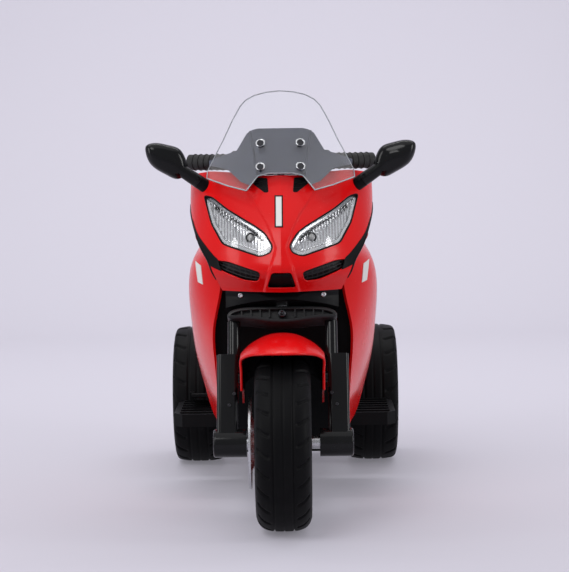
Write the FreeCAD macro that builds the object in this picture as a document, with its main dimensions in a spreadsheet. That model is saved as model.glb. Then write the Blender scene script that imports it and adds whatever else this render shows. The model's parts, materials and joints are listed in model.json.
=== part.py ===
import FreeCAD, Part
import math
import os
import re
from types import SimpleNamespace

import Sketcher

# Kids' electric three-wheel motorbike: one steered front wheel, two rear wheels on a fixed axle.
# Frame: floor at z = 0, front towards -Y, rider's left towards +X, millimetres.

SIZES = {
    # wheels and layout
    "wheelbase": 690.0,
    "tail_overhang": 220.0,
    "caster_angle": 22.0,
    "front_wheel_radius": 150.0,
    "front_tyre_width": 94.0,
    "front_rim_radius": 98.0,
    "rear_wheel_radius": 139.0,
    "rear_tyre_width": 98.0,
    "rear_rim_radius": 88.0,
    "rear_track": 352.0,
    "axle_radius": 6.0,
    "running_clearance": 0.08,
    "rim_wall": 9.0,
    "web_thickness": 14.0,
    "hub_radius": 26.0,
    "front_hub_width": 96.0,
    "rear_hub_width": 72.0,
    "hub_gap": 0.3,
    "spacer_radius": 11.0,
    "disc_bore_radius": 20.0,
    "disc_hole_radius": 4.5,
    "disc_radius": 78.0,
    "disc_thickness": 4.0,
    # steered fork, measured along the steering axis from the front axle
    "fork_spacing": 190.0,
    "fork_leg_width": 36.0,
    "fork_leg_depth": 40.0,
    "fork_leg_length": 205.0,
    "fork_leg_round": 7.0,
    "fork_foot_round": 4.0,
    "fork_tube_radius": 11.0,
    "fork_tube_spacing": 168.0,
    "guard_boss_radius": 9.0,
    "fork_foot_radius": 24.0,
    "fork_foot_inner": 62.0,
    "fork_foot_width": 57.0,
    "yoke_height": 31.0,
    "yoke_depth": 52.0,
    "yoke_overhang": 8.0,
    "yoke_pocket_depth": 9.0,
    "stem_radius": 13.0,
    "bar_clearance": 74.6,
    "bar_dip": 16.0,
    "bar_clamp_height": 34.0,
    "bar_clamp_depth": 40.0,
    "bar_radius": 11.0,
    "bar_span": 330.0,
    "bar_rise": 24.0,
    "bar_bend": 46.0,
    "bar_sweep": 58.0,
    "bar_clamp_width": 64.0,
    "grip_radius": 14.0,
    "grip_length": 92.0,
    "grip_flange_radius": 20.0,
    "grip_flange_width": 5.0,
    "mudguard_radius": 187.0,
    "mudguard_half_width": 71.0,
    "mudguard_shoulder": 35.0,
    "mudguard_wall": 3.5,
    "mudguard_front_angle": 29.0,
    "mudguard_rear_angle": 54.0,
    "mudguard_skirt": 90.0,
    # front bodywork
    "mask_half_width": 165.0,
    "mask_depth": 190.0,
    "mask_ridge": 45.0,
    "mask_bottom": 404.0,
    "mask_height": 218.0,
    "mask_wall": 3.5,
    "beak_rise": 3.0,
    "mask_setback": 2.0,
    "panel_gap": 0.6,
    "lens_wall": 2.2,
    "lens_recess": 1.2,
    "reflector_recess": 22.0,
    "grille_recess": 7.0,
    "screen_bottom": 574.0,
    "screen_height": 176.0,
    "screen_half_width": 131.0,
    "screen_setback": 48.0,
    "screen_rake": 158.0,
    "screen_bow": 62.0,
    "screen_wall": 3.0,
    "cowl_gap": 12.0,
    "cowl_wall": 4.0,
    "screw_radius": 5.5,
    "screw_head": 3.0,
    "side_wall": 4.0,
    "side_top": 506.0,
    "side_bottom": 132.0,
    "side_half_width": 168.0,
    "side_setback": 122.0,
    "side_length": 235.0,
    "shield_half_width": 134.0,
    "shield_setback": 178.0,
    "shield_depth": 18.0,
    "shield_top": 398.0,
    "bracket_gap": 4.0,
    "bracket_thickness": 26.0,
    "bracket_half_width": 98.0,
    "bracket_reach": 46.0,
    "head_tube_radius": 23.0,
    "head_tube_length": 96.0,
    # mirrors
    "mirror_x": 137.0,
    "mirror_setback": 171.0,
    "mirror_base_height": 584.0,
    "mirror_pin_radius": 6.0,
    "mirror_boss_radius": 12.0,
    "mirror_boss_length": 12.0,
    "mirror_pin_length": 20.0,
    "mirror_stalk_length": 38.0,
    "mirror_lift_angle": 34.0,
    "mirror_forward_angle": 15.0,
    "mirror_length": 85.0,
    "mirror_height": 52.0,
    "mirror_depth": 26.0,
    "mirror_glass_thickness": 2.5,
    # main body
    "pan_half_width": 96.0,
    "pan_bottom": 104.0,
    "pan_top": 200.0,
    "pan_wall": 5.0,
    "pan_rear_reach": 95.0,
    "shell_wall": 4.0,
    "tank_height": 520.0,
    "seat_height": 366.0,
    "tail_height": 446.0,
    "seat_thickness": 44.0,
    "seat_setback": 452.0,
    "seat_length": 345.0,
    "seat_channel_radius": 5.0,
    "tail_light_depth": 10.0,
    "footboard_width": 112.0,
    "footboard_length": 176.0,
    "footboard_thickness": 24.0,
    "footboard_height": 150.0,
    "footboard_setback": 330.0,
    "tread_rib_height": 3.0,
    "pedal_length": 92.0,
    "pedal_width": 52.0,
    "pedal_thickness": 8.0,
    "pedal_pin_radius": 3.0,
    "pedal_lift": 14.0,
    # drive and controls
    "coupler_radius": 16.0,
    "battery_setback": 70.0,
    "battery_length": 150.0,
    "battery_width": 66.0,
    "battery_height": 92.0,
    "control_length": 60.0,
    "control_width": 70.0,
    "control_height": 28.0,
    "motor_radius": 19.0,
    "motor_length": 62.0,
    "gearbox_length": 128.0,
    "gearbox_height": 58.0,
    "gearbox_width": 46.0,
    "dash_setback": 14.0,
    "dash_width": 150.0,
    "dash_length": 74.0,
    "dash_thickness": 12.0,
    "dial_radius": 24.0,
    "button_radius": 8.0,
    "button_height": 9.0,
    "button_travel": 2.5,
    "rocker_radius": 8.0,
    "nut_radius": 10.0,
    "nut_height": 9.0,
    "overrun": 60.0,
}

doc = FreeCAD.newDocument("ride_on_motorbike")
sheet = doc.addObject("Spreadsheet::Sheet", "Sizes")
for row, (alias, value) in enumerate(SIZES.items(), start=1):
    sheet.set(f"A{row}", alias)
    sheet.set(f"B{row}", str(value))
    sheet.setAlias(f"B{row}", alias)
doc.recompute()
s = SimpleNamespace(**{alias: sheet.get(alias) for alias in SIZES})

# Places that several pieces share, as text for the sheet's expressions and as numbers.
FRONT_AXLE_Y = "((front_wheel_radius - wheelbase - tail_overhang) / 2)"
REAR_AXLE_Y = "((front_wheel_radius + wheelbase - tail_overhang) / 2)"
front_y = (s.front_wheel_radius - s.wheelbase - s.tail_overhang) / 2
rear_y = front_y + s.wheelbase
YOKE_BASE = "fork_leg_length"
BRACKET_BASE = "(fork_leg_length + yoke_height + bracket_gap)"
SIDES = {"left": 1, "right": -1}
nodes = {}


def expr(text):
    """Puts the sheet's name before each alias in a formula."""
    return re.sub(r"[a-z][a-z_0-9]*", lambda m: ("Sizes." if m[0] in SIZES else "") + m[0], text)


def bind(obj, **formulas):
    """Binds properties to formulas; a double underscore stands for a dot in the property's path."""
    for path, text in formulas.items():
        obj.setExpression(path.replace("__", "."), expr(text))
    return obj


def place(obj, x="0", y="0", z="0", axis=None, angle="0"):
    """Binds a placement: a base point and a turn about one axis."""
    if axis is not None:
        obj.Placement = FreeCAD.Placement(FreeCAD.Vector(), FreeCAD.Rotation(axis, 1))
        bind(obj, Placement__Rotation__Angle=angle)
    return bind(obj, Placement__Base__x=x, Placement__Base__y=y, Placement__Base__z=z)


X_AXIS, Y_AXIS, Z_AXIS = FreeCAD.Vector(1, 0, 0), FreeCAD.Vector(0, 1, 0), FreeCAD.Vector(0, 0, 1)


def tilt(obj):
    """Stands a piece in the steering frame: origin at the front axle, z along the steering axis."""
    return place(obj, y=FRONT_AXLE_Y, z="front_wheel_radius", axis=X_AXIS, angle="-caster_angle")


def node(label, obj):
    """Registers a finished object as a sub-part under its own label."""
    obj.Label = label
    nodes[label] = obj
    return obj


def new_body(name):
    return doc.addObject("PartDesign::Body", name)


def new_sketch(body, plane, offset="0"):
    """A sketch on one of the body's origin planes, moved along the plane's normal."""
    sketch = body.newObject("Sketcher::SketchObject", body.Name + "_sketch")
    support = [f for f in body.Origin.OriginFeatures if f.Role == plane][0]
    sketch.AttachmentSupport = [(support, "")]
    sketch.MapMode = "FlatFace"
    return bind(sketch, AttachmentOffset__Base__z=offset)


def draw_outline(sketch, points):
    """A closed polygon whose corners are bound to formulas."""
    count, first = len(points), sketch.GeometryCount
    ring = [FreeCAD.Vector(math.cos(k * math.tau / count), math.sin(k * math.tau / count), 0)
            for k in range(count + 1)]
    for k in range(count):
        sketch.addGeometry(Part.LineSegment(ring[k], ring[k + 1]), False)
    for k in range(count):
        sketch.addConstraint(Sketcher.Constraint("Coincident", first + k, 2, first + (k + 1) % count, 1))
    for k, corner in enumerate(points):
        for kind, text in zip(("DistanceX", "DistanceY"), corner):
            index = sketch.addConstraint(Sketcher.Constraint(kind, -1, 1, first + k, 1, 1.0))
            sketch.setExpression(f"Constraints[{index}]", expr(text))
    return sketch


def draw_circle(sketch, x, y, radius):
    """A circle whose centre and radius are bound to formulas."""
    at = sketch.addGeometry(Part.Circle(FreeCAD.Vector(), Z_AXIS, 1), False)
    for kind, text in (("DistanceX", x), ("DistanceY", y)):
        index = sketch.addConstraint(Sketcher.Constraint(kind, -1, 1, at, 3, 1.0))
        sketch.setExpression(f"Constraints[{index}]", expr(text))
    index = sketch.addConstraint(Sketcher.Constraint("Radius", at, 1.0))
    sketch.setExpression(f"Constraints[{index}]", expr(radius))
    return sketch


def add_pad(body, sketch, length, midplane=False, kind="Pad", flip=False):
    """Pads or pockets a sketch by a formula's length."""
    feature = body.newObject("PartDesign::" + kind, f"{body.Name}_{kind.lower()}")
    feature.Profile = sketch
    feature.Midplane = midplane
    feature.Reversed = flip
    bind(feature, Length=length)
    doc.recompute()
    return feature


def add_revolution(body, sketch):
    """Turns a sketch once round its own horizontal axis."""
    feature = body.newObject("PartDesign::Revolution", body.Name + "_revolution")
    feature.Profile = sketch
    feature.ReferenceAxis = (sketch, ["H_Axis"])
    feature.Angle = 360
    doc.recompute()
    return feature


def add_fillet(body, radius, chosen):
    """Rounds the tip's edges that the test picks."""
    base = body.Tip
    edges = [f"Edge{k}" for k, e in enumerate(base.Shape.Edges, start=1) if chosen(e)]
    feature = body.newObject("PartDesign::Fillet", body.Name + "_fillet")
    feature.Base = (base, edges)
    bind(feature, Radius=radius)
    doc.recompute()
    return feature


def add_polar(body, feature, plane_axis, count):
    """Repeats a feature round one of the body's origin axes."""
    pattern = body.newObject("PartDesign::PolarPattern", body.Name + "_pattern")
    pattern.Originals = [feature]
    axis = [f for f in body.Origin.OriginFeatures if f.Role == plane_axis][0]
    pattern.Axis = (axis, [""])
    pattern.Angle = 360
    pattern.Occurrences = count
    body.Tip = pattern
    doc.recompute()
    return pattern


def boolean(kind, name, base, tool):
    """A Part boolean of two objects: Cut, Fuse or Common."""
    made = doc.addObject("Part::" + kind, name)
    made.Base, made.Tool = base, tool
    return made


def cylinder(name, radius, height):
    return bind(doc.addObject("Part::Cylinder", name), Radius=radius, Height=height)


def box(name, length, width, height):
    return bind(doc.addObject("Part::Box", name), Length=length, Width=width, Height=height)


def feature_of(name, shape):
    made = doc.addObject("Part::Feature", name)
    made.Shape = shape
    return made


NEARLY = 1e-6


def runs_along(axis):
    """A test for straight edges along an axis."""
    def test(edge):
        return isinstance(edge.Curve, Part.Line) and abs(abs(edge.Curve.Direction.dot(axis)) - 1) < NEARLY
    return test


def line(start, end):
    return Part.LineSegment(start, end).toShape()


def arc(start, middle, end):
    return Part.Arc(start, middle, end).toShape()


# Wheels: a moulded tyre on a spoked rim, turned about the axle.

# Half of a tyre's section: share of the half width, share of the section height above the rim.
GROOVE_SHARES = [(0.40, 0.985), (0.385, 0.93), (0.325, 0.93), (0.31, 0.99), (0.10, 1.0)]
FRONT_TYRE_SHARES = [(0.80, 0.0), (0.97, 0.16), (1.0, 0.42), (0.95, 0.68), (0.80, 0.86), (0.58, 0.955),
                     *GROOVE_SHARES]
REAR_TYRE_SHARES = [(0.80, 0.0), (0.97, 0.16), (1.0, 0.42), (0.985, 0.74), (0.90, 0.89), (0.62, 0.965),
                    *GROOVE_SHARES]


def make_tyre(name, width, radius, rim, shares):
    """A crowned tyre with two grooves round its tread."""
    body = new_body(name)
    half = [(f"{a} * {width} / 2", f"{rim} + {b} * ({radius} - {rim})") for a, b in shares]
    other = [("-" + x, z) for x, z in reversed(half)]
    add_revolution(body, draw_outline(new_sketch(body, "XZ_Plane"), half + other))
    return body


# A spoke window: shares of its inner and outer radius, then half widths as shares of those radii.
WINDOW_SHARES = {"inner_half": 0.34, "outer_half": 0.40, "outer_height": 0.86}
SPOKE_COUNT = 5


def make_rim(name, width, rim, hub_width):
    """A rim: hub, web with spoke windows, and the channel that carries the tyre."""
    body = new_body(name)
    bore, well = "(axle_radius + running_clearance)", f"({rim} - rim_wall)"
    edge = f"({FRONT_TYRE_SHARES[0][0]} * {width} / 2)"
    face, web = f"{hub_width} / 2", "web_thickness / 2"
    half = [(face, bore), (face, "hub_radius"), (web, "hub_radius"), (web, well), (edge, well), (edge, rim)]
    other = [("-" + x, z) for x, z in reversed(half)]
    add_revolution(body, draw_outline(new_sketch(body, "XZ_Plane"), half + other))
    inner, outer = "(hub_radius + rim_wall / 2)", f"({rim} - 2 * rim_wall)"
    a, b, top = (WINDOW_SHARES[k] for k in ("inner_half", "outer_half", "outer_height"))
    window = [(f"-{a} * {inner}", inner), (f"{a} * {inner}", inner), (f"{b} * {outer}", f"{top} * {outer}"),
              ("0", outer), (f"-{b} * {outer}", f"{top} * {outer}")]
    sketch = draw_outline(new_sketch(body, "YZ_Plane"), window)
    add_polar(body, add_pad(body, sketch, width, midplane=True, kind="Pocket"), "X_Axis", SPOKE_COUNT)
    return body


def at_front_axle(obj):
    return place(obj, y=FRONT_AXLE_Y, z="front_wheel_radius")


node("front_tyre", at_front_axle(make_tyre("front_tyre", "front_tyre_width", "front_wheel_radius",
                                           "front_rim_radius", FRONT_TYRE_SHARES)))
node("front_rim", at_front_axle(make_rim("front_rim", "front_tyre_width", "front_rim_radius",
                                         "front_hub_width")))

for side, sign in SIDES.items():
    for piece in (make_tyre(f"rear_tyre_{side}", "rear_tyre_width", "rear_wheel_radius", "rear_rim_radius",
                            REAR_TYRE_SHARES),
                  make_rim(f"rear_rim_{side}", "rear_tyre_width", "rear_rim_radius", "rear_hub_width")):
        node(piece.Name, place(piece, f"{sign} * rear_track / 2", REAR_AXLE_Y, "rear_wheel_radius"))


DISC_HOLE_SHARE = 0.62
DISC_HOLE_COUNT = 12


def make_brake_disc():
    """A drilled disc against the hub's face on the rider's right."""
    body = new_body("brake_disc")
    sketch = new_sketch(body, "YZ_Plane", "-front_hub_width / 2 - disc_thickness")
    draw_circle(sketch, "0", "0", "disc_radius")
    draw_circle(sketch, "0", "0", "disc_bore_radius")
    add_pad(body, sketch, "disc_thickness")
    holes = new_sketch(body, "YZ_Plane", "-front_hub_width / 2 - disc_thickness")
    draw_circle(holes, "0", f"(disc_radius + hub_radius) * {DISC_HOLE_SHARE}", "disc_hole_radius")
    drilled = add_pad(body, holes, "disc_thickness", kind="Pocket", flip=True)
    add_polar(body, drilled, "X_Axis", DISC_HOLE_COUNT)
    return body


node("brake_disc", at_front_axle(make_brake_disc()))


def x_rod(name, radius, start, length, y, z):
    """A round rod along X."""
    return place(cylinder(name, radius, length), start, y, z, Y_AXIS, "90")


def x_ring(name, radius, bore, start, length, y, z):
    """A round sleeve along X."""
    outer = x_rod(name + "_outer", radius, start, length, y, z)
    inner = x_rod(name + "_bore", bore, start, length, y, z)
    return boolean("Cut", name, outer, inner)


FOOT_OUTER = "(fork_foot_inner + fork_foot_width)"
node("front_axle", x_rod("front_axle", "axle_radius", f"-{FOOT_OUTER}", f"2 * {FOOT_OUTER}",
                         FRONT_AXLE_Y, "front_wheel_radius"))
HUB_END = "(front_hub_width / 2 + hub_gap)"
DISC_END = "(front_hub_width / 2 + disc_thickness + hub_gap)"
left_spacer = x_ring("front_spacer_left", "spacer_radius", "axle_radius", HUB_END,
                     f"fork_foot_inner - {HUB_END}", FRONT_AXLE_Y, "front_wheel_radius")
right_spacer = x_ring("front_spacer_right", "spacer_radius", "axle_radius", "-fork_foot_inner",
                      f"fork_foot_inner - {DISC_END}", FRONT_AXLE_Y, "front_wheel_radius")
node("front_axle_spacers", boolean("Fuse", "front_spacers", left_spacer, right_spacer))

# Steered fork, yoke, stem and handlebar, in the steering frame.


LEG_HEIGHT_SHARE = 0.74
# Heights of the yoke's outline: its ends, its waist and the start of its rounded top.
YOKE_SHARES = {"end": 0.28, "waist": 0.12, "shoulder": 0.86}
YOKE_POCKET_SHARES = [(0.10, 0.34), (0.30, 0.42), (0.30, 0.80), (0.10, 0.80)]


def is_foot_rim(edge):
    """A test for the round edge at a foot's outer end."""
    outer = s.fork_foot_inner + s.fork_foot_width
    return isinstance(edge.Curve, Part.Circle) and abs(abs(edge.Curve.Center.x) - outer) < NEARLY


def make_fork_leg(side, sign):
    """A boxed lower leg with a round upper tube and a rounded foot that holds the axle."""
    body = new_body(f"fork_leg_{side}")
    middle = f"{sign} * fork_spacing / 2"
    corners = [(f"{middle} + {a} * fork_leg_width / 2", f"{b} * fork_leg_depth / 2")
               for a, b in ((-1, -1), (1, -1), (1, 1), (-1, 1))]
    leg_top = f"{LEG_HEIGHT_SHARE} * fork_leg_length"
    add_pad(body, draw_outline(new_sketch(body, "XY_Plane"), corners), leg_top)
    add_fillet(body, "fork_leg_round", runs_along(Z_AXIS))
    start = "fork_foot_inner" if sign > 0 else f"-{FOOT_OUTER}"
    foot = draw_circle(new_sketch(body, "YZ_Plane", start), "0", "0", "fork_foot_radius")
    add_pad(body, foot, "fork_foot_width")
    add_fillet(body, "fork_foot_round", is_foot_rim)
    tube = draw_circle(new_sketch(body, "XY_Plane", leg_top), f"{sign} * fork_tube_spacing / 2", "0",
                       "fork_tube_radius")
    add_pad(body, tube, f"fork_leg_length + {YOKE_SHARES['end']} * yoke_height - {leg_top}")
    boss_gap = "(fork_spacing / 2 - fork_leg_width / 2 - mudguard_half_width)"
    face = "mudguard_half_width" if sign > 0 else f"-mudguard_half_width - {boss_gap}"
    boss_height = "mudguard_radius - mudguard_skirt + 2 * guard_boss_radius"
    boss = draw_circle(new_sketch(body, "YZ_Plane", face), "0", boss_height, "guard_boss_radius")
    add_pad(body, boss, boss_gap)
    bore = draw_circle(new_sketch(body, "YZ_Plane", start), "0", "0", "axle_radius")
    add_pad(body, bore, "fork_foot_width", kind="Pocket", flip=True)
    return body


for side, sign in SIDES.items():
    node(f"fork_leg_{side}", tilt(make_fork_leg(side, sign)))


def make_lower_yoke():
    """The moulded yoke across the fork tubes, with a pocketed front and a deeper middle."""
    body = new_body("lower_yoke")
    end = "(fork_tube_spacing / 2 + fork_tube_radius + yoke_overhang / 2)"
    neck = "(fork_tube_spacing / 2 - fork_tube_radius - yoke_overhang / 2)"
    low, waist, top = (f"yoke_height * {YOKE_SHARES[k]}" for k in ("end", "waist", "shoulder"))
    half = [("fork_tube_spacing / 4", waist), (neck, low), (end, low), (end, top),
            (f"{end} - yoke_overhang", "yoke_height")]
    front = [("0", "0")] + half + [(f"-({x})", z) for x, z in reversed(half)]
    sketch = draw_outline(new_sketch(body, "XZ_Plane"), front)
    add_pad(body, sketch, "yoke_depth", midplane=True)
    add_fillet(body, "yoke_overhang", runs_along(Z_AXIS))
    for sign in (-1, 1):
        pocket = [(f"{sign} * fork_tube_spacing * {a}", f"yoke_height * {b}") for a, b in YOKE_POCKET_SHARES]
        recess = draw_outline(new_sketch(body, "XZ_Plane", "yoke_depth / 2"), pocket)
        add_pad(body, recess, "yoke_pocket_depth", kind="Pocket")
    return body


def lift(obj, distance):
    """Stands a piece in the steering frame, moved up along the steering axis by a formula."""
    return place(obj, y=f"{FRONT_AXLE_Y} + ({distance}) * sin(caster_angle)",
                 z=f"front_wheel_radius + ({distance}) * cos(caster_angle)",
                 axis=X_AXIS, angle="-caster_angle")


# The stem carries the bar clear of the dash and of the mask's upper edge.
STEM_BASE = "(fork_leg_length + yoke_height)"
BAR_HEIGHT = "max(tank_height + dash_thickness + bar_clearance; mask_bottom + mask_height - bar_dip)"
CLAMP_BASE = f"(({BAR_HEIGHT} - front_wheel_radius) / cos(caster_angle))"
clamp_base = (max(s.tank_height + s.dash_thickness + s.bar_clearance,
                  s.mask_bottom + s.mask_height - s.bar_dip)
              - s.front_wheel_radius) / math.cos(math.radians(s.caster_angle))
node("lower_yoke", lift(make_lower_yoke(), YOKE_BASE))
stem = cylinder("steering_stem", "stem_radius", f"{CLAMP_BASE} - {STEM_BASE}")
node("steering_stem", lift(stem, STEM_BASE))


def make_bar_clamp():
    """The block on top of the stem that grips the handlebar."""
    body = new_body("bar_clamp")
    corners = [(f"{a} * bar_clamp_width / 2", f"{b} * bar_clamp_depth / 2")
               for a, b in ((-1, -1), (1, -1), (1, 1), (-1, 1))]
    add_pad(body, draw_outline(new_sketch(body, "XY_Plane"), corners), "bar_clamp_height")
    add_fillet(body, "bar_clamp_depth / 4", runs_along(Z_AXIS))
    bore = draw_circle(new_sketch(body, "YZ_Plane"), "0", "bar_clamp_height / 2", "bar_radius")
    add_pad(body, bore, "bar_clamp_width", midplane=True, kind="Pocket")
    return body


node("bar_clamp", lift(make_bar_clamp(), CLAMP_BASE))


def bent_path(points, radius):
    """Straight runs joined by tangent arcs at the inner points."""
    edges, start = [], points[0]
    for before, corner, after in zip(points, points[1:], points[2:]):
        a, b = (before - corner).normalize(), (after - corner).normalize()
        turn = math.pi - a.getAngle(b)
        cut = radius * math.tan(turn / 2)
        first, last = corner + a * cut, corner + b * cut
        inward = (a + b).normalize()
        middle = corner + inward * (radius / math.cos(turn / 2) - radius)
        edges.append(line(start, first))
        edges.append(arc(first, middle, last))
        start = last
    edges.append(line(start, points[-1]))
    return Part.Wire(edges)


def tube_along(points, bend, radius):
    """A solid round bar along a bent path."""
    path = bent_path(points, bend)
    profile = Part.Wire(Part.makeCircle(radius, points[0], points[1] - points[0]))
    return path.makePipeShell([profile], True, False)


bar_height = clamp_base + s.bar_clamp_height / 2
bar_inner = s.bar_clamp_width / 2 + s.bar_radius
bar_points = [FreeCAD.Vector(k * x, y, bar_height + z) for k, x, y, z in (
    (-1, s.bar_span / 2, s.bar_sweep, s.bar_rise), (-1, bar_inner, 0, 0),
    (1, bar_inner, 0, 0), (1, s.bar_span / 2, s.bar_sweep, s.bar_rise))]
node("handlebar", tilt(feature_of("handlebar", tube_along(bar_points, s.bar_bend, s.bar_radius))))


GRIP_RIB_COUNT = 7


def make_grip(end, towards):
    """A ribbed sleeve over the end of the bar, with a flange on its inner side."""
    along = (towards - end).normalize()
    sleeve = Part.makeCylinder(s.grip_radius, s.grip_length, end, along)
    flange_at = end + along * s.grip_length
    flange = Part.makeCylinder(s.grip_flange_radius, s.grip_flange_width, flange_at, along)
    step = along * (s.grip_length / (GRIP_RIB_COUNT + 1))
    ribs = [Part.makeTorus(s.grip_radius, s.grip_flange_width / 4, end + step * k, along)
            for k in range(1, GRIP_RIB_COUNT + 1)]
    solid = sleeve.multiFuse([flange] + ribs)
    bore = Part.makeCylinder(s.bar_radius, s.grip_length + 2 * s.grip_flange_width, end, along)
    return solid.cut(bore)


node("grip_right", tilt(feature_of("grip_right", make_grip(bar_points[0], bar_points[1]))))
node("grip_left", tilt(feature_of("grip_left", make_grip(bar_points[3], bar_points[2]))))


# Half of the guard's arch: share of its half width, drop as a share of its shoulder.
ARCH_SHARES = [(0.0, 0.0), (0.27, 0.05), (0.48, 0.19), (0.67, 0.39), (0.83, 0.62), (0.94, 0.84), (1.0, 1.0)]


def make_mudguard():
    """An arched guard with side skirts that reach the fork legs, turned about the front axle."""
    body = new_body("front_mudguard")
    half = "mudguard_half_width"
    outer = [(f"{a} * {half}", f"mudguard_radius - {b} * mudguard_shoulder") for a, b in ARCH_SHARES]
    inner = [(f"{a} * ({half} - mudguard_wall)",
              f"mudguard_radius - mudguard_wall - {b} * mudguard_shoulder") for a, b in ARCH_SHARES]
    outer.append((half, "mudguard_radius - mudguard_skirt"))
    inner.append((f"({half} - mudguard_wall)", "mudguard_radius - mudguard_skirt"))
    ring = outer + inner[::-1]
    left = [(f"-({x})", z) for x, z in inner[1:]] + [(f"-({x})", z) for x, z in reversed(outer[1:])]
    sketch = draw_outline(new_sketch(body, "XZ_Plane"), ring + left)
    turned = add_revolution(body, sketch)
    bind(turned, Angle="mudguard_front_angle + mudguard_rear_angle")
    doc.recompute()
    return body


node("front_mudguard", place(make_mudguard(), y=FRONT_AXLE_Y, z="front_wheel_radius", axis=X_AXIS,
                             angle="-mudguard_rear_angle"))

# Front bodywork. The mask is a skin whose level sections are two elliptic arcs that meet in a ridge.

# Nose line: share of the mask's height above its lower edge, and setback as a share of that height.
NOSE_SHARES = [(-0.06, 0.165), (0.0, 0.138), (0.165, 0.0), (0.30, 0.035), (0.44, 0.10), (0.67, 0.25),
               (0.90, 0.436), (1.06, 0.575)]
ARC_STEPS = 7


def mask_arc(inset, height, setback, sign):
    """One half of a level section as a curve from the ridge to the rear edge."""
    half, depth = s.mask_half_width + s.mask_ridge - inset, s.mask_depth - inset
    ridge = math.sqrt(1 - (s.mask_ridge / (s.mask_half_width + s.mask_ridge)) ** 2)
    rear = front_y + s.mask_setback + setback * s.mask_height + s.mask_depth * ridge
    first = math.asin(s.mask_ridge / half)
    turns = [first + (math.pi / 2 - first) * k / (ARC_STEPS - 1) for k in range(ARC_STEPS)]
    points = [FreeCAD.Vector(sign * (half * math.sin(a) - s.mask_ridge), rear - depth * math.cos(a),
                             s.mask_bottom + height * s.mask_height) for a in turns]
    points[0].x = 0.0
    curve = Part.BSplineCurve()
    curve.interpolate(points)
    return points, curve.toShape()


def mask_section(inset, wall, height, setback):
    """A closed level section: a band of the skin, or all that lies behind it where wall is None."""
    (right, right_edge), (left, left_edge) = (mask_arc(inset, height, setback, k) for k in (1, -1))
    if wall is None:
        return Part.Wire([right_edge, line(right[-1], left[-1]), left_edge])
    (right_in, right_in_edge), (left_in, left_in_edge) = (
        mask_arc(inset + wall, height, setback, k) for k in (1, -1))
    return Part.Wire([right_edge, line(right[-1], right_in[-1]), right_in_edge,
                      left_in_edge, line(left_in[-1], left[-1]), left_edge])


def mask_skin(name, inset, wall):
    wires = [mask_section(inset, wall, height, setback) for height, setback in NOSE_SHARES]
    return feature_of(name, Part.makeLoft(wires, True, False))


# Front-view outlines: shares of the mask's half width, shares of its height above the lower edge.
MASK_SHARES = [(0.0, 0.905), (0.30, 0.91), (0.55, 0.927), (0.905, 0.92), (0.988, 0.86), (0.988, 0.65),
               (0.965, 0.565), (0.866, 0.367), (0.765, 0.24), (0.72, 0.151), (0.625, 0.0), (0.20, 0.004)]
LAMP_SHARES = [(0.824, 0.745), (0.735, 0.525), (0.612, 0.372), (0.212, 0.28), (0.105, 0.312), (0.082, 0.365),
               (0.164, 0.463), (0.255, 0.512), (0.558, 0.64), (0.72, 0.728)]
INTAKE_SHARES = [(0.205, 0.168), (0.232, 0.083), (0.39, 0.093), (0.63, 0.165), (0.692, 0.215), (0.70, 0.25),
                 (0.56, 0.248)]
CHIN_SHARES = [(-0.106, 0.168), (-0.158, 0.035), (0.158, 0.035), (0.106, 0.168)]
BEAK_SHARES = [(0.42, 0.905), (0.364, 0.775), (0.20, 0.592), (0.145, 0.51), (0.098, 0.413), (0.07, 0.36),
               (0.082, 0.31), (0.143, 0.174), (0.19, 0.032)]


def inward(shares, width, height):
    """For each corner, the direction that takes both its sides inwards by one unit."""
    points = [FreeCAD.Vector(a * width, b * height, 0) for a, b in shares]
    area = sum(p.x * q.y - q.x * p.y for p, q in zip(points, points[1:] + points[:1]))
    found = []
    for before, here, after in zip(points[-1:] + points[:-1], points, points[1:] + points[:1]):
        sides = [(here - before).normalize(), (after - here).normalize()]
        normals = [FreeCAD.Vector(-d.y, d.x, 0) * math.copysign(1, area) for d in sides]
        both = normals[0] + normals[1]
        found.append(both * (2 / both.dot(both)))
    return found


def front_prism(name, shares, width, height, base, sign=1, inset=None):
    """A prism along Y of a front-view outline, drawn in by a named gap where one is given."""
    body = new_body(name)
    steps = inward(shares, s.__dict__[width], s.__dict__[height])
    corners = []
    for (a, b), step in zip(shares, steps):
        x, z = f"{a} * {width}", f"{base} + {b} * {height}"
        if inset:
            x, z = f"{x} + {step.x:.5f} * {inset}", f"{z} + {step.y:.5f} * {inset}"
        corners.append((f"{sign} * ({x})", z))
    sketch = draw_outline(new_sketch(body, "XZ_Plane"), corners)
    add_pad(body, sketch, "mask_depth + mask_height + 2 * overrun", flip=True)
    return place(body, y=f"{FRONT_AXLE_Y} - overrun")


def mask_prism(name, shares, sign=1, inset=None):
    return front_prism(name, shares, "mask_half_width", "mask_height", "mask_bottom", sign, inset)


def mirrored(shares):
    """A whole outline from its right half."""
    return shares + [(-a, b) for a, b in reversed(shares) if a > 0]


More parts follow.
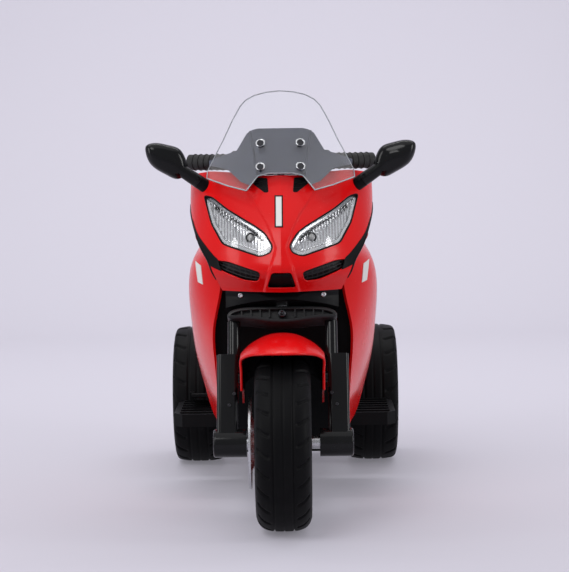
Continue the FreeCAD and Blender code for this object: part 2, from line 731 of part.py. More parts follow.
mask_solid = mask_skin("mask_solid", 0, None)
mask_core = mask_skin("mask_core", s.mask_wall, None)
mask = boolean("Common", "mask_panel", mask_skin("mask_wall_skin", 0, s.mask_wall),
               mask_prism("mask_outline", mirrored(MASK_SHARES)))
beak = boolean("Common", "beak_panel", mask_skin("beak_skin", -s.beak_rise, s.beak_rise + s.mask_wall / 2),
               mask_prism("beak_outline", mirrored(BEAK_SHARES)))
mask = boolean("Fuse", "mask_with_beak", mask, beak)
lens_skin = mask_skin("lens_skin", s.lens_recess, s.lens_wall)
reflector_skin = mask_skin("reflector_skin", s.reflector_recess, s.lens_wall)
grille_skin = mask_skin("grille_skin", s.grille_recess, s.mask_wall)
for side, sign in SIDES.items():
    mask = boolean("Cut", f"mask_lamp_cut_{side}", mask, mask_prism(f"lamp_hole_{side}", LAMP_SHARES, sign))
    mask = boolean("Cut", f"mask_intake_cut_{side}", mask,
                   mask_prism(f"intake_hole_{side}", INTAKE_SHARES, sign))
node("nose_mask", boolean("Cut", "mask_chin_cut", mask, mask_prism("chin_hole", CHIN_SHARES)))


def ring_wall(name, shares, sign, depth):
    """The return wall of an opening: from the mask's skin back to a recessed panel."""
    skin = mask_skin(name + "_skin", s.mask_wall, depth)
    outer = mask_prism(name + "_outer", shares, sign, "panel_gap - mask_wall")
    inner = mask_prism(name + "_inner", shares, sign, "panel_gap")
    return boolean("Cut", name, boolean("Common", name + "_block", skin, outer), inner)


def make_grille(name, shares, sign):
    """A recessed panel behind an opening, with a wall that seats on the mask's inner face."""
    panel = boolean("Common", name + "_panel", grille_skin,
                    mask_prism(name + "_outline", shares, sign, "panel_gap - mask_wall"))
    wall = ring_wall(name + "_wall", shares, sign, s.grille_recess - s.mask_wall)
    return boolean("Fuse", name, panel, wall)


for side, sign in SIDES.items():
    lens_outline = mask_prism(f"lens_outline_{side}", LAMP_SHARES, sign, "panel_gap")
    node(f"headlamp_lens_{side}", boolean("Common", f"headlamp_lens_{side}", lens_skin, lens_outline))
    bowl = boolean("Common", f"reflector_back_{side}", reflector_skin,
                   mask_prism(f"reflector_outline_{side}", LAMP_SHARES, sign, "panel_gap - mask_wall"))
    wall = ring_wall(f"reflector_wall_{side}", LAMP_SHARES, sign, s.reflector_recess - s.mask_wall)
    node(f"headlamp_reflector_{side}", boolean("Fuse", f"headlamp_reflector_{side}", bowl, wall))
    node(f"intake_grille_{side}", make_grille(f"intake_grille_{side}", INTAKE_SHARES, sign))
node("chin_grille", make_grille("chin_grille", CHIN_SHARES, 1))

# Windscreen and instrument cowl: raked, bowed sheets cropped by front-view outlines.
SCREEN_SHARES = [(0.0, 1.0), (0.19, 0.986), (0.35, 0.957), (0.47, 0.908), (0.55, 0.845), (0.656, 0.70),
                 (0.78, 0.50), (0.878, 0.36), (0.985, 0.20), (0.992, 0.125), (0.70, 0.055), (0.445, 0.008),
                 (0.39, 0.06), (0.29, 0.15), (0.15, 0.172)]
COWL_SHARES = [(0.0, 0.614), (0.30, 0.614), (0.375, 0.60), (0.45, 0.565), (0.585, 0.396), (0.965, 0.30),
               (0.96, 0.25), (0.708, 0.216), (0.522, 0.092), (0.40, 0.06), (0.29, 0.15), (0.15, 0.172)]
SCREEN_STATIONS = [(-0.1, -0.12), (0.2, 0.22), (0.5, 0.52), (0.8, 0.79), (1.1, 1.04)]
SCREW_SHARES = [(0.267, 0.245), (0.267, 0.475)]
FOOT_SHARES = [(0.44, 0.115), (0.52, 0.135)]


def screen_sheet(name, inset, wall):
    """A bowed sheet: level sections are arcs that step back as they rise."""
    wires = []
    for height, setback in SCREEN_STATIONS:
        z = s.screen_bottom + height * s.screen_height
        middle = front_y + s.screen_setback + setback * s.screen_rake + inset
        half, bow = s.screen_half_width + s.overrun / 6, s.screen_bow
        arcs = [[FreeCAD.Vector(k * half, middle + shift + bow * abs(k), z) for k in (-1, 0, 1)]
                for shift in (0, wall)]
        front, back = (arc(*points) for points in arcs)
        wires.append(Part.Wire([front, line(arcs[0][2], arcs[1][2]), back,
                                line(arcs[1][0], arcs[0][0])]))
    return feature_of(name, Part.makeLoft(wires, True, False))


def screen_prism(name, shares):
    return front_prism(name, shares, "screen_half_width", "screen_height", "screen_bottom")


def screen_posts(name, shares, radius):
    """Round posts along Y at places of the screen's front view, left and right."""
    posts = []
    for k, (a, b) in enumerate(shares):
        for side, sign in SIDES.items():
            post = cylinder(f"{name}_{k}_{side}", radius, "screen_rake + screen_bow + mask_depth")
            y = f"{FRONT_AXLE_Y} + screen_setback - screen_rake / 2"
            z = f"screen_bottom + {b} * screen_height"
            posts.append(place(post, f"{sign * a} * screen_half_width", y, z, X_AXIS, "-90"))
    whole = doc.addObject("Part::MultiFuse", name)
    whole.Shapes = posts
    return whole


node("windscreen", boolean("Common", "windscreen", screen_sheet("screen_skin", 0, s.screen_wall),
                           screen_prism("screen_outline", mirrored(SCREEN_SHARES))))
cowl_inset = s.screen_wall + s.cowl_gap
cowl_panel = boolean("Common", "cowl_panel", screen_sheet("cowl_skin", cowl_inset, s.cowl_wall),
                     screen_prism("cowl_outline", mirrored(COWL_SHARES)))
cowl_posts = boolean("Common", "cowl_posts", screen_sheet("cowl_space", s.screen_wall, s.cowl_gap),
                     screen_posts("cowl_post_rods", SCREW_SHARES, "screw_radius + cowl_wall / 2"))
behind = screen_sheet("cowl_back_space", cowl_inset + s.cowl_wall, 2 * s.cowl_gap)
cowl_rods = boolean("Common", "cowl_foot_rods", behind,
                    screen_posts("cowl_foot_posts", FOOT_SHARES, "screw_radius"))
cowl_feet = boolean("Cut", "cowl_feet", boolean("Cut", "cowl_foot_ends", cowl_rods, mask_solid), beak)
cowl = doc.addObject("Part::MultiFuse", "instrument_cowl")
cowl.Shapes = [cowl_panel, cowl_posts, cowl_feet]
node("instrument_cowl", cowl)
screw_space = screen_sheet("screw_space", -s.screw_head, s.screw_head)
node("windscreen_screws", boolean("Common", "windscreen_screws", screw_space,
                                  screen_posts("screw_rods", SCREW_SHARES, "screw_radius")))

# Side fairings: upright bands from the mask down to a point beside the front wheel.

# Height share, then x share and setback share of the front edge, the middle and the rear edge.
FAIRING_SHARES = [(0.0, 0.69, 0.33, 0.70, 0.60, 0.72, 0.85),
                  (0.075, 0.69, 0.289, 0.745, 0.60, 0.81, 0.87),
                  (0.188, 0.70, 0.183, 0.81, 0.587, 0.895, 1.0),
                  (0.342, 0.72, 0.119, 0.88, 0.502, 0.98, 1.013),
                  (0.525, 0.735, 0.077, 0.92, 0.417, 1.022, 0.949),
                  (0.685, 0.665, 0.043, 0.91, 0.332, 1.03, 0.843),
                  (0.862, 0.722, 0.085, 0.875, 0.329, 0.948, 0.715),
                  (1.0, 0.868, 0.32, 0.890, 0.43, 0.893, 0.587)]


def side_band(name, sign, outer, inner):
    """A loft of level bands between two offsets of the fairing's outer face."""
    wires = []
    for height, *places in FAIRING_SHARES:
        z = s.side_bottom + height * (s.side_top - s.side_bottom)
        rows = []
        for shift in (outer, inner):
            rows.append([FreeCAD.Vector(sign * (a * s.side_half_width - shift),
                                        front_y + s.side_setback + b * s.side_length + shift / 2, z)
                         for a, b in zip(places[0::2], places[1::2])])
        outside, inside = (arc(*row) for row in rows)
        wires.append(Part.Wire([outside, line(rows[0][2], rows[1][2]), inside,
                                line(rows[1][0], rows[0][0])]))
    return feature_of(name, Part.makeLoft(wires, True, False))


mask_zone = mask_skin("mask_zone", -s.panel_gap, None)
zone_outline = mask_prism("mask_zone_outline", mirrored(MASK_SHARES), 1, "-panel_gap")
mask_room = boolean("Common", "mask_room", mask_zone, zone_outline)
for side, sign in SIDES.items():
    node(f"side_fairing_{side}", boolean("Cut", f"side_fairing_{side}",
                                         side_band(f"side_band_{side}", sign, 0, s.side_wall), mask_room))


# Half of the shield's outline above the pan: half width share, share of its height.
SHIELD_SHARES = [(0.72, 0.0), (0.80, 0.20), (1.0, 0.77), (1.06, 1.0)]


def make_front_shield():
    """The black wall behind the fork, between the side fairings."""
    body = new_body("shield_block")
    half = [(f"{a} * shield_half_width", f"pan_bottom + {b} * (shield_top - pan_bottom)")
            for a, b in SHIELD_SHARES]
    corners = half + [("-" + x, z) for x, z in reversed(half)]
    add_pad(body, draw_outline(new_sketch(body, "XZ_Plane"), corners), "shield_depth", flip=True)
    return place(body, y=f"{FRONT_AXLE_Y} + shield_setback")


beside = {side: side_band(f"beside_{side}", sign, -s.overrun, s.side_wall) for side, sign in SIDES.items()}
shield = make_front_shield()
for side, room in beside.items():
    shield = boolean("Cut", f"shield_cut_{side}", shield, room)
node("front_shield", shield)


def make_head_bracket():
    """The plate under the mask's chin that carries the head tube, square to the steering axis."""
    body = new_body("head_plate")
    corners = [(f"{a} * bracket_half_width", b) for a, b in (
        (-1, "-bracket_reach"), (1, "-bracket_reach"), (1, "shield_setback"), (-1, "shield_setback"))]
    add_pad(body, draw_outline(new_sketch(body, "XY_Plane"), corners), "bracket_thickness")
    tube = draw_circle(new_sketch(body, "XY_Plane"), "0", "0", "head_tube_radius")
    add_pad(body, tube, "head_tube_length")
    bore = draw_circle(new_sketch(body, "XY_Plane"), "0", "0", "stem_radius + running_clearance")
    add_pad(body, bore, "head_tube_length", kind="Pocket", flip=True)
    return lift(body, BRACKET_BASE)


lowest = mask_section(s.mask_wall, None, *NOSE_SHARES[0])
below_mask = feature_of("below_mask", Part.Face(lowest).extrude(-Z_AXIS * s.shield_top))
plate = make_head_bracket()
bracket = boolean("Fuse", "bracket_whole", boolean("Common", "bracket_in_mask", plate, mask_core),
                  boolean("Common", "bracket_below_mask", plate, below_mask))
for side, room in beside.items():
    bracket = boolean("Cut", f"bracket_cut_{side}", bracket, room)
behind_shield = place(box("behind_shield", "4 * shield_half_width", "wheelbase", "2 * shield_top"),
                      "-2 * shield_half_width", f"{FRONT_AXLE_Y} + shield_setback")
node("head_bracket", boolean("Cut", "head_bracket", bracket, behind_shield))

# Mirrors, each in a frame at its foot on the mask: x along the stalk, y to the back, z up.

# Outline of the housing seen along the stalk frame's y: shares of its length and of its height.
MIRROR_SHARES = [(0.0, 0.20), (0.20, 0.46), (0.38, 0.58), (0.63, 0.48), (0.90, 0.27), (1.0, 0.03),
                 (0.93, -0.16), (0.70, -0.40), (0.29, -0.40), (0.05, -0.28)]
# Sections from front to back: share of the depth, scale of the outline.
MIRROR_DEPTH_SHARES = [(-0.5, 0.30), (-0.40, 0.62), (-0.12, 0.92), (0.20, 1.0), (0.5, 0.96)]
MIRROR_MIDDLE_SHARE = 0.5
GLASS_SHARE = 0.86
STALK_TAPER_SHARE = 0.86
GLASS_SEAT_SHARE = 0.38


def mirror_outline(scale, y):
    """A smooth closed curve round the housing, scaled about its middle."""
    points = []
    for a, b in MIRROR_SHARES:
        along = MIRROR_MIDDLE_SHARE + (a - MIRROR_MIDDLE_SHARE) * scale
        x = s.mirror_stalk_length + along * s.mirror_length
        points.append(FreeCAD.Vector(x, y, b * scale * s.mirror_height))
    curve = Part.BSplineCurve()
    curve.interpolate(points, PeriodicFlag=True)
    return Part.Wire(curve.toShape())


def mirror_frame(sign):
    """The placement of a mirror's frame; the right-hand one is mirrored by building it with -x."""
    turn = FreeCAD.Rotation(Z_AXIS, -sign * s.mirror_forward_angle)
    rise = FreeCAD.Rotation(Y_AXIS, -sign * s.mirror_lift_angle)
    foot = FreeCAD.Vector(sign * s.mirror_x, front_y + s.mirror_setback, s.mirror_base_height)
    return FreeCAD.Placement(foot, turn.multiply(rise))


def mirror_piece(name, shape, sign):
    """Stands a shape of the mirror's frame on the bike, mirrored on the rider's right."""
    if sign < 0:
        shape = shape.mirror(FreeCAD.Vector(), X_AXIS)
    made = feature_of(name, shape)
    made.Placement = mirror_frame(sign)
    return made


pin_end = s.mirror_boss_length + s.mirror_pin_length
pin_seat = s.mirror_boss_length + s.hub_gap
origin = FreeCAD.Vector()
boss_shape = Part.makeCylinder(s.mirror_boss_radius, s.mirror_boss_length + s.overrun / 2,
                               X_AXIS * (-s.overrun / 2), X_AXIS)
pin_shape = Part.makeCylinder(s.mirror_pin_radius, pin_end, origin, X_AXIS)
bore_shape = Part.makeCylinder(s.mirror_pin_radius + s.running_clearance, pin_end + s.hub_gap,
                               origin, X_AXIS)
stalk_length = s.mirror_stalk_length + s.mirror_length / 2 - pin_seat
stalk_shape = Part.makeCone(s.mirror_boss_radius, s.mirror_boss_radius * STALK_TAPER_SHARE, stalk_length,
                            X_AXIS * pin_seat, X_AXIS)
housing_shape = Part.makeLoft([mirror_outline(scale, depth * s.mirror_depth)
                               for depth, scale in MIRROR_DEPTH_SHARES], True, False)
glass_face = Part.Face(mirror_outline(GLASS_SHARE, GLASS_SEAT_SHARE * s.mirror_depth))
glass_shape = glass_face.extrude(Y_AXIS * s.mirror_glass_thickness)
recess_shape = glass_face.extrude(Y_AXIS * s.mirror_depth)
housing_shape = housing_shape.fuse(stalk_shape).cut(bore_shape).cut(recess_shape)
for side, sign in SIDES.items():
    boss = mirror_piece(f"mirror_boss_{side}", boss_shape.fuse(pin_shape), sign)
    node(f"mirror_mount_{side}", boolean("Cut", f"mirror_mount_{side}", boss, mask_solid))
    node(f"mirror_housing_{side}", mirror_piece(f"mirror_housing_{side}", housing_shape, sign))
    node(f"mirror_glass_{side}", mirror_piece(f"mirror_glass_{side}", glass_shape, sign))

# Floor pan: an open tray from the shield to behind the rear axle.
BODY_Y = f"({FRONT_AXLE_Y} + shield_setback + shield_depth)"
body_y = front_y + s.shield_setback + s.shield_depth
tail_y = rear_y + s.tail_overhang - s.tail_light_depth


def make_floor_pan():
    body = new_body("floor_pan")
    ends = (BODY_Y, f"({REAR_AXLE_Y} + pan_rear_reach)")
    for wall, kind in (("0", "Pad"), ("pan_wall", "Pocket")):
        corners = [(f"{a} * (pan_half_width - {wall})", f"{ends[b]} {'-' if b else '+'} {wall}")
                   for a, b in ((-1, 0), (1, 0), (1, 1), (-1, 1))]
        level = "pan_bottom" if kind == "Pad" else "pan_top"
        outline = draw_outline(new_sketch(body, "XY_Plane", level), corners)
        add_pad(body, outline, f"pan_top - pan_bottom - {wall}", kind=kind)
        if kind == "Pad":
            add_fillet(body, "2 * pan_wall", runs_along(Z_AXIS))
    left = draw_circle(new_sketch(body, "YZ_Plane"), REAR_AXLE_Y, "rear_wheel_radius", "axle_radius")
    add_pad(body, left, "pan_half_width + overrun", kind="Pocket", flip=True)
    right = draw_circle(new_sketch(body, "YZ_Plane"), REAR_AXLE_Y, "rear_wheel_radius",
                        "coupler_radius + running_clearance")
    add_pad(body, right, "pan_half_width + overrun", kind="Pocket")
    return body


node("floor_pan", make_floor_pan())

# Main body shell: arched sections along the bike, open below.

# Share of the body's length, half width as a share of the pan's, shares of the tank's, seat's and tail's
# heights in the section's top, and the lower edge's rise as a share from the pan's top to the tail.
BODY_SHARES = [(0.0, 0.95, (0.90, 0.0, 0.0), 0.0), (0.13, 1.02, (1.0, 0.0, 0.0), 0.0),
               (0.27, 0.95, (0.93, 0.0, 0.0), 0.0), (0.38, 0.86, (0.24, 0.76, 0.0), 0.0),
               (0.50, 0.86, (0.0, 1.0, 0.0), 0.0), (0.66, 0.95, (0.0, 1.0, 0.0), 0.0),
               (0.80, 0.92, (0.0, 0.59, 0.41), 0.0), (0.90, 0.72, (0.0, 0.0, 0.96), 0.34),
               (1.0, 0.42, (0.0, 0.0, 1.0), 0.74)]
CORNER_SHARE = 0.5
SIDE_LEAN_SHARE = 0.96


def arch_section(y, half, bottom, top):
    """An upright section: leaning sides and a top with rounded corners."""
    lean, turn = half * SIDE_LEAN_SHARE, half * CORNER_SHARE
    knee = turn * (1 - math.sqrt(0.5))
    right = [FreeCAD.Vector(x, y, z) for x, z in (
        (half, bottom), (lean, top - turn), (lean - knee, top - knee), (lean - turn, top))]
    left = [FreeCAD.Vector(-p.x, p.y, p.z) for p in right]
    return Part.Wire([line(right[0], right[1]), arc(*right[1:]),
                      line(right[3], left[3]), arc(left[3], left[2], left[1]),
                      line(left[1], left[0]), line(left[0], right[0])])


def body_loft(name, wall, drop):
    wires = []
    for along, half, shares, rise in BODY_SHARES:
        y = body_y + wall + along * (tail_y - body_y - 2 * wall)
        bottom = s.pan_top + rise * (s.tail_height - s.pan_top) - drop
        top = sum(k * height for k, height in zip(shares, (s.tank_height, s.seat_height, s.tail_height)))
        wires.append(arch_section(y, half * s.pan_half_width - wall, bottom, top - wall))
    return feature_of(name, Part.makeLoft(wires, True, False))


body_outer = body_loft("body_outer", 0, 0)
above_pan = box("above_pan", "2 * pan_half_width + 2 * overrun", "wheelbase + tail_overhang", "tank_height")
place(above_pan, "-pan_half_width - overrun", FRONT_AXLE_Y, "pan_top")
hollow = boolean("Cut", "body_hollow", body_outer, body_loft("body_inner", s.shell_wall, s.overrun))
node("body_shell", boolean("Common", "body_shell", hollow, above_pan))

# Seat cushion: crowned sections with drawn-in ends, cut to the shell, with sewn channels across.
SEAT_SHARES = [(0.0, 0.62, 0.30), (0.08, 0.74, 0.72), (0.30, 0.82, 0.92), (0.60, 0.91, 0.95),
               (0.85, 0.90, 1.30), (0.96, 0.80, 1.40), (1.0, 0.66, 1.10)]
CHANNEL_SHARES = [0.30, 0.52, 0.74]
SEAT_SIDE_SHARE = 0.45
SEAT_KNEE_SHARES = (0.80, 0.10)
seat_y = front_y + s.seat_setback


def seat_section(along, half, rise):
    top = s.seat_height + rise * s.seat_thickness
    width, base = half * s.pan_half_width, s.seat_height - s.seat_thickness
    y = seat_y + along * s.seat_length
    side = top - SEAT_SIDE_SHARE * s.seat_thickness
    knee = FreeCAD.Vector(SEAT_KNEE_SHARES[0] * width, y, top - SEAT_KNEE_SHARES[1] * s.seat_thickness)
    right = [FreeCAD.Vector(width * SIDE_LEAN_SHARE, y, base), FreeCAD.Vector(width, y, side), knee]
    left = [FreeCAD.Vector(-p.x, p.y, p.z) for p in right]
    crown = FreeCAD.Vector(0, y, top)
    return Part.Wire([line(right[0], right[1]), arc(right[1], right[2], crown),
                      arc(crown, left[2], left[1]), line(left[1], left[0]),
                      line(left[0], right[0])])


def seat_top(along):
    """The cushion's crown height at a share of its length."""
    for (a, _, first), (b, _, last) in zip(SEAT_SHARES, SEAT_SHARES[1:]):
        if along <= b:
            return s.seat_height + s.seat_thickness * (first + (last - first) * (along - a) / (b - a))


seat_wires = [seat_section(*row) for row in SEAT_SHARES]
seat_block = feature_of("seat_block", Part.makeLoft(seat_wires, True, False))
seat_pad = boolean("Cut", "seat_on_shell", seat_block, body_outer)
channels = [Part.makeCylinder(s.seat_channel_radius, 2 * s.pan_half_width,
                              FreeCAD.Vector(-s.pan_half_width, seat_y + k * s.seat_length,
                                             seat_top(k) + s.seat_channel_radius / 2), X_AXIS)
            for k in CHANNEL_SHARES]
channel_tool = feature_of("seat_channels", Part.makeCompound(channels))
node("seat_pad", boolean("Cut", "seat_pad", seat_pad, channel_tool))

# Tail light on the end of the shell.
TAIL_LIGHT_SHARES = [(-0.34, 0.80), (0.34, 0.80), (0.30, 0.94), (-0.30, 0.94)]


def make_tail_light():
    body = new_body("tail_light")
    corners = [(f"{a} * pan_half_width", f"{b} * tail_height + {1 - b} * pan_top")
               for a, b in TAIL_LIGHT_SHARES]
    add_pad(body, draw_outline(new_sketch(body, "XZ_Plane"), corners), "tail_light_depth", flip=True)
    add_fillet(body, "tail_light_depth / 4", runs_along(Y_AXIS))
    return place(body, y=f"{REAR_AXLE_Y} + tail_overhang - tail_light_depth")


node("tail_light", make_tail_light())

# Footboards beside the pan, the rider's right one with the accelerator pedal's ears.
BOARD_SHARES = [(0.0, 0.0), (0.86, 0.0), (1.0, 0.10), (1.0, 0.88), (0.90, 1.0), (0.0, 1.0)]
TREAD_COUNT = 6
TREAD_SHARE = 0.10
TREAD_END_SHARES = (0.10, 0.90)
BOARD_Y = f"({FRONT_AXLE_Y} + footboard_setback)"
PEDAL_X = "(-(pan_half_width + footboard_width / 2))"
PEDAL_Y = f"({BOARD_Y} + footboard_length - 4 * pedal_pin_radius)"
PEDAL_Z = "(footboard_height + tread_rib_height + pedal_thickness)"
EAR_INNER = "(pedal_width / 2 + hub_gap)"
EAR_OUTER = "(pedal_width / 2 + hub_gap + pedal_thickness)"


def make_footboard(side, sign):
    body = new_body(f"footboard_{side}")
    corners = [(f"{sign} * (pan_half_width + {a} * footboard_width)", f"{BOARD_Y} + {b} * footboard_length")
               for a, b in BOARD_SHARES]
    board = draw_outline(new_sketch(body, "XY_Plane", "footboard_height - footboard_thickness"), corners)
    add_pad(body, board, "footboard_thickness")
    ribs = new_sketch(body, "XY_Plane", "footboard_height")
    for k in range(TREAD_COUNT):
        shares = [(k + 0.5 + TREAD_SHARE * e) / TREAD_COUNT for e in (-1, 1)]
        rows = [f"{BOARD_Y} + {share:.5f} * footboard_length" for share in shares]
        ends = [f"{sign} * (pan_half_width + {a} * footboard_width)" for a in TREAD_END_SHARES]
        draw_outline(ribs, [(ends[0], rows[0]), (ends[1], rows[0]), (ends[1], rows[1]), (ends[0], rows[1])])
    add_pad(body, ribs, "tread_rib_height")
    if sign < 0:
        for way in (-1, 1):
            offset = f"{PEDAL_X} + {EAR_INNER}" if way > 0 else f"{PEDAL_X} - {EAR_OUTER}"
            front, back = f"{PEDAL_Y} - pedal_thickness", f"{PEDAL_Y} + pedal_thickness"
            foot, crown = "footboard_height", f"{PEDAL_Z} + pedal_thickness"
            ear = [(front, foot), (back, foot), (back, crown), (front, crown)]
            add_pad(body, draw_outline(new_sketch(body, "YZ_Plane", offset), ear), "pedal_thickness")
        bore = draw_circle(new_sketch(body, "YZ_Plane", PEDAL_X), PEDAL_Y, PEDAL_Z,
                           "pedal_pin_radius + running_clearance")
        add_pad(body, bore, f"2 * {EAR_OUTER}", midplane=True, kind="Pocket")
    return body


for side, sign in SIDES.items():
    node(f"footboard_{side}", make_footboard(side, sign))


def make_pedal():
    """The accelerator: a plate that rises to the front from a pin across its heel."""
    body = new_body("accelerator_pedal")
    half = "pedal_thickness / 2"
    side = [(f"{PEDAL_Y} + {half}", f"{PEDAL_Z} - {half}"), (f"{PEDAL_Y} + {half}", f"{PEDAL_Z} + {half}"),
            (f"{PEDAL_Y} - pedal_length", f"{PEDAL_Z} + pedal_lift + {half}"),
            (f"{PEDAL_Y} - pedal_length", f"{PEDAL_Z} + pedal_lift - {half}")]
    add_pad(body, draw_outline(new_sketch(body, "YZ_Plane", PEDAL_X), side), "pedal_width", midplane=True)
    add_fillet(body, "pedal_thickness / 4", runs_along(X_AXIS))
    pin = draw_circle(new_sketch(body, "YZ_Plane", PEDAL_X), PEDAL_Y, PEDAL_Z, "pedal_pin_radius")
    add_pad(body, pin, f"2 * {EAR_OUTER}", midplane=True)
    return body


node("accelerator_pedal", make_pedal())

# Rear axle, its spacer, the drive coupler and the wheel nuts.
REAR_HUB_INNER = "(rear_track / 2 - rear_hub_width / 2)"
REAR_HUB_OUTER = "(rear_track / 2 + rear_hub_width / 2 + hub_gap)"
AXLE_END = f"({REAR_HUB_OUTER} + nut_height)"
REAR = (REAR_AXLE_Y, "rear_wheel_radius")
node("rear_axle", x_rod("rear_axle", "axle_radius", f"-{AXLE_END}", f"2 * {AXLE_END}", *REAR))
node("rear_axle_spacer", x_ring("rear_axle_spacer", "spacer_radius", "axle_radius", "pan_half_width",
                                f"{REAR_HUB_INNER} - hub_gap - pan_half_width", *REAR))
COUPLER_LENGTH = f"({REAR_HUB_INNER} - pan_half_width + pan_wall - hub_gap)"
node("drive_coupler", x_ring("drive_coupler", "coupler_radius", "axle_radius + running_clearance",
                             f"-{REAR_HUB_INNER}", COUPLER_LENGTH, *REAR))
nuts = []
for side, sign in SIDES.items():
    nut = doc.addObject("Part::Prism", f"wheel_nut_blank_{side}")
    nut.Polygon = 6
    bind(nut, Circumradius="nut_radius", Height="nut_height")
    place(nut, REAR_HUB_OUTER if sign > 0 else f"-{AXLE_END}", *REAR, Y_AXIS, "90")
    hole = x_rod(f"wheel_nut_bore_{side}", "axle_radius", REAR_HUB_OUTER if sign > 0 else f"-{AXLE_END}",
                 "nut_height", *REAR)
    nuts.append(boolean("Cut", f"wheel_nut_{side}", nut, hole))
node("wheel_nuts", boolean("Fuse", "wheel_nuts", *nuts))

# Drive: gearbox against the pan's wall, motor on the gearbox, battery and control box on the pan's floor.
GEARBOX_SHARES = [(-0.78, -0.40), (-0.70, -0.50), (0.12, -0.50), (0.22, -0.32), (0.22, 0.32), (0.12, 0.5),
                  (-0.40, 0.5), (-0.78, 0.30)]
MOTOR_SHARE = 0.46
GEARBOX_X = "(pan_half_width - pan_wall)"


def make_gearbox():
    body = new_body("gearbox_housing")
    corners = [(f"{REAR_AXLE_Y} + {a} * gearbox_length", f"rear_wheel_radius + {b} * gearbox_height")
               for a, b in GEARBOX_SHARES]
    add_pad(body, draw_outline(new_sketch(body, "YZ_Plane", f"-{GEARBOX_X}"), corners), "gearbox_width")
    bore = draw_circle(new_sketch(body, "YZ_Plane", f"-{GEARBOX_X}"), *REAR, "axle_radius")
    add_pad(body, bore, "gearbox_width", kind="Pocket", flip=True)
    return body


node("gearbox_housing", make_gearbox())
MOTOR_Y = f"{REAR_AXLE_Y} - {MOTOR_SHARE} * gearbox_length"
motor_can = x_rod("motor_can", "motor_radius", f"gearbox_width - {GEARBOX_X}", "motor_length",
                  MOTOR_Y, "rear_wheel_radius")
motor_nose = x_rod("motor_nose", "motor_radius / 3", f"gearbox_width + motor_length - {GEARBOX_X}",
                   "motor_radius / 4", MOTOR_Y, "rear_wheel_radius")
node("drive_motor", boolean("Fuse", "drive_motor", motor_can, motor_nose))
PAN_FLOOR = "(pan_bottom + pan_wall)"


def make_box_unit(name, length, width, height, setback):
    """A block on the pan's floor with rounded upright edges."""
    body = new_body(name)
    corners = [(f"{a} * {width} / 2", f"{BODY_Y} + {setback} + {b} * {length}")
               for a, b in ((-1, 0), (1, 0), (1, 1), (-1, 1))]
    add_pad(body, draw_outline(new_sketch(body, "XY_Plane", PAN_FLOOR), corners), height)
    add_fillet(body, "pan_wall", runs_along(Z_AXIS))
    return body


battery = make_box_unit("battery", "battery_length", "battery_width", "battery_height", "battery_setback")
for sign in (-1, 1):
    lid = new_sketch(battery, "XY_Plane", f"{PAN_FLOOR} + battery_height")
    post = draw_circle(lid, f"{sign} * battery_width / 4",
                       f"{BODY_Y} + battery_setback + battery_length / 8", "pan_wall")
    add_pad(battery, post, "pan_wall")
node("battery", battery)
node("control_box", make_box_unit("control_box", "control_length", "control_width", "control_height",
                                  "battery_setback + battery_length + pan_wall"))

# Dash on the tank, with a dial, two push buttons and the forward and reverse rocker.
DASH_Y = f"({BODY_Y} + dash_setback)"
dash_corner = FreeCAD.Vector(-s.dash_width / 2, body_y + s.dash_setback, s.seat_height)
dash_ground = Part.makeBox(s.dash_width, s.dash_length, s.tank_height, dash_corner)
dash_crest = max(point.z for point in body_outer.Shape.common(dash_ground).tessellate(s.panel_gap)[0])
DASH_TOP = f"({dash_crest:.3f} + dash_thickness)"
DASH_SHARES = [(-0.5, 0.12), (-0.34, 0.0), (0.34, 0.0), (0.5, 0.12), (0.42, 1.0), (-0.42, 1.0)]
BUTTON_SHARES = {"power_button": (0.30, 0.30), "horn_button": (0.30, 0.70)}
ROCKER_SHARES = (-0.30, 0.5)
DIAL_SHARES = (0.0, 0.45)
PADDLE_SHARE = 0.55


def dash_point(shares):
    return f"{shares[0]} * dash_width", f"{DASH_Y} + {shares[1]} * dash_length"


def make_dash():
    body = new_body("dash_block")
    corners = [dash_point(k) for k in DASH_SHARES]
    add_pad(body, draw_outline(new_sketch(body, "XY_Plane", f"{DASH_TOP} - overrun"), corners), "overrun")
    add_fillet(body, "dash_thickness / 2", runs_along(Z_AXIS))
    for shares in BUTTON_SHARES.values():
        well = draw_circle(new_sketch(body, "XY_Plane", DASH_TOP), *dash_point(shares),
                           "button_radius + running_clearance")
        add_pad(body, well, "button_height", kind="Pocket")
    x, y = dash_point(ROCKER_SHARES)
    well = draw_circle(new_sketch(body, "YZ_Plane", x), y, DASH_TOP, "rocker_radius + running_clearance")
    add_pad(body, well, "2 * rocker_radius + 2 * hub_gap", midplane=True, kind="Pocket")
    return body


node("dash_panel", boolean("Cut", "dash_panel", make_dash(), body_outer))
for name, shares in BUTTON_SHARES.items():
    x, y = dash_point(shares)
    cap = cylinder(name, "button_radius", "button_height")
    node(name, place(cap, x, y, f"{DASH_TOP} - button_height + button_travel"))


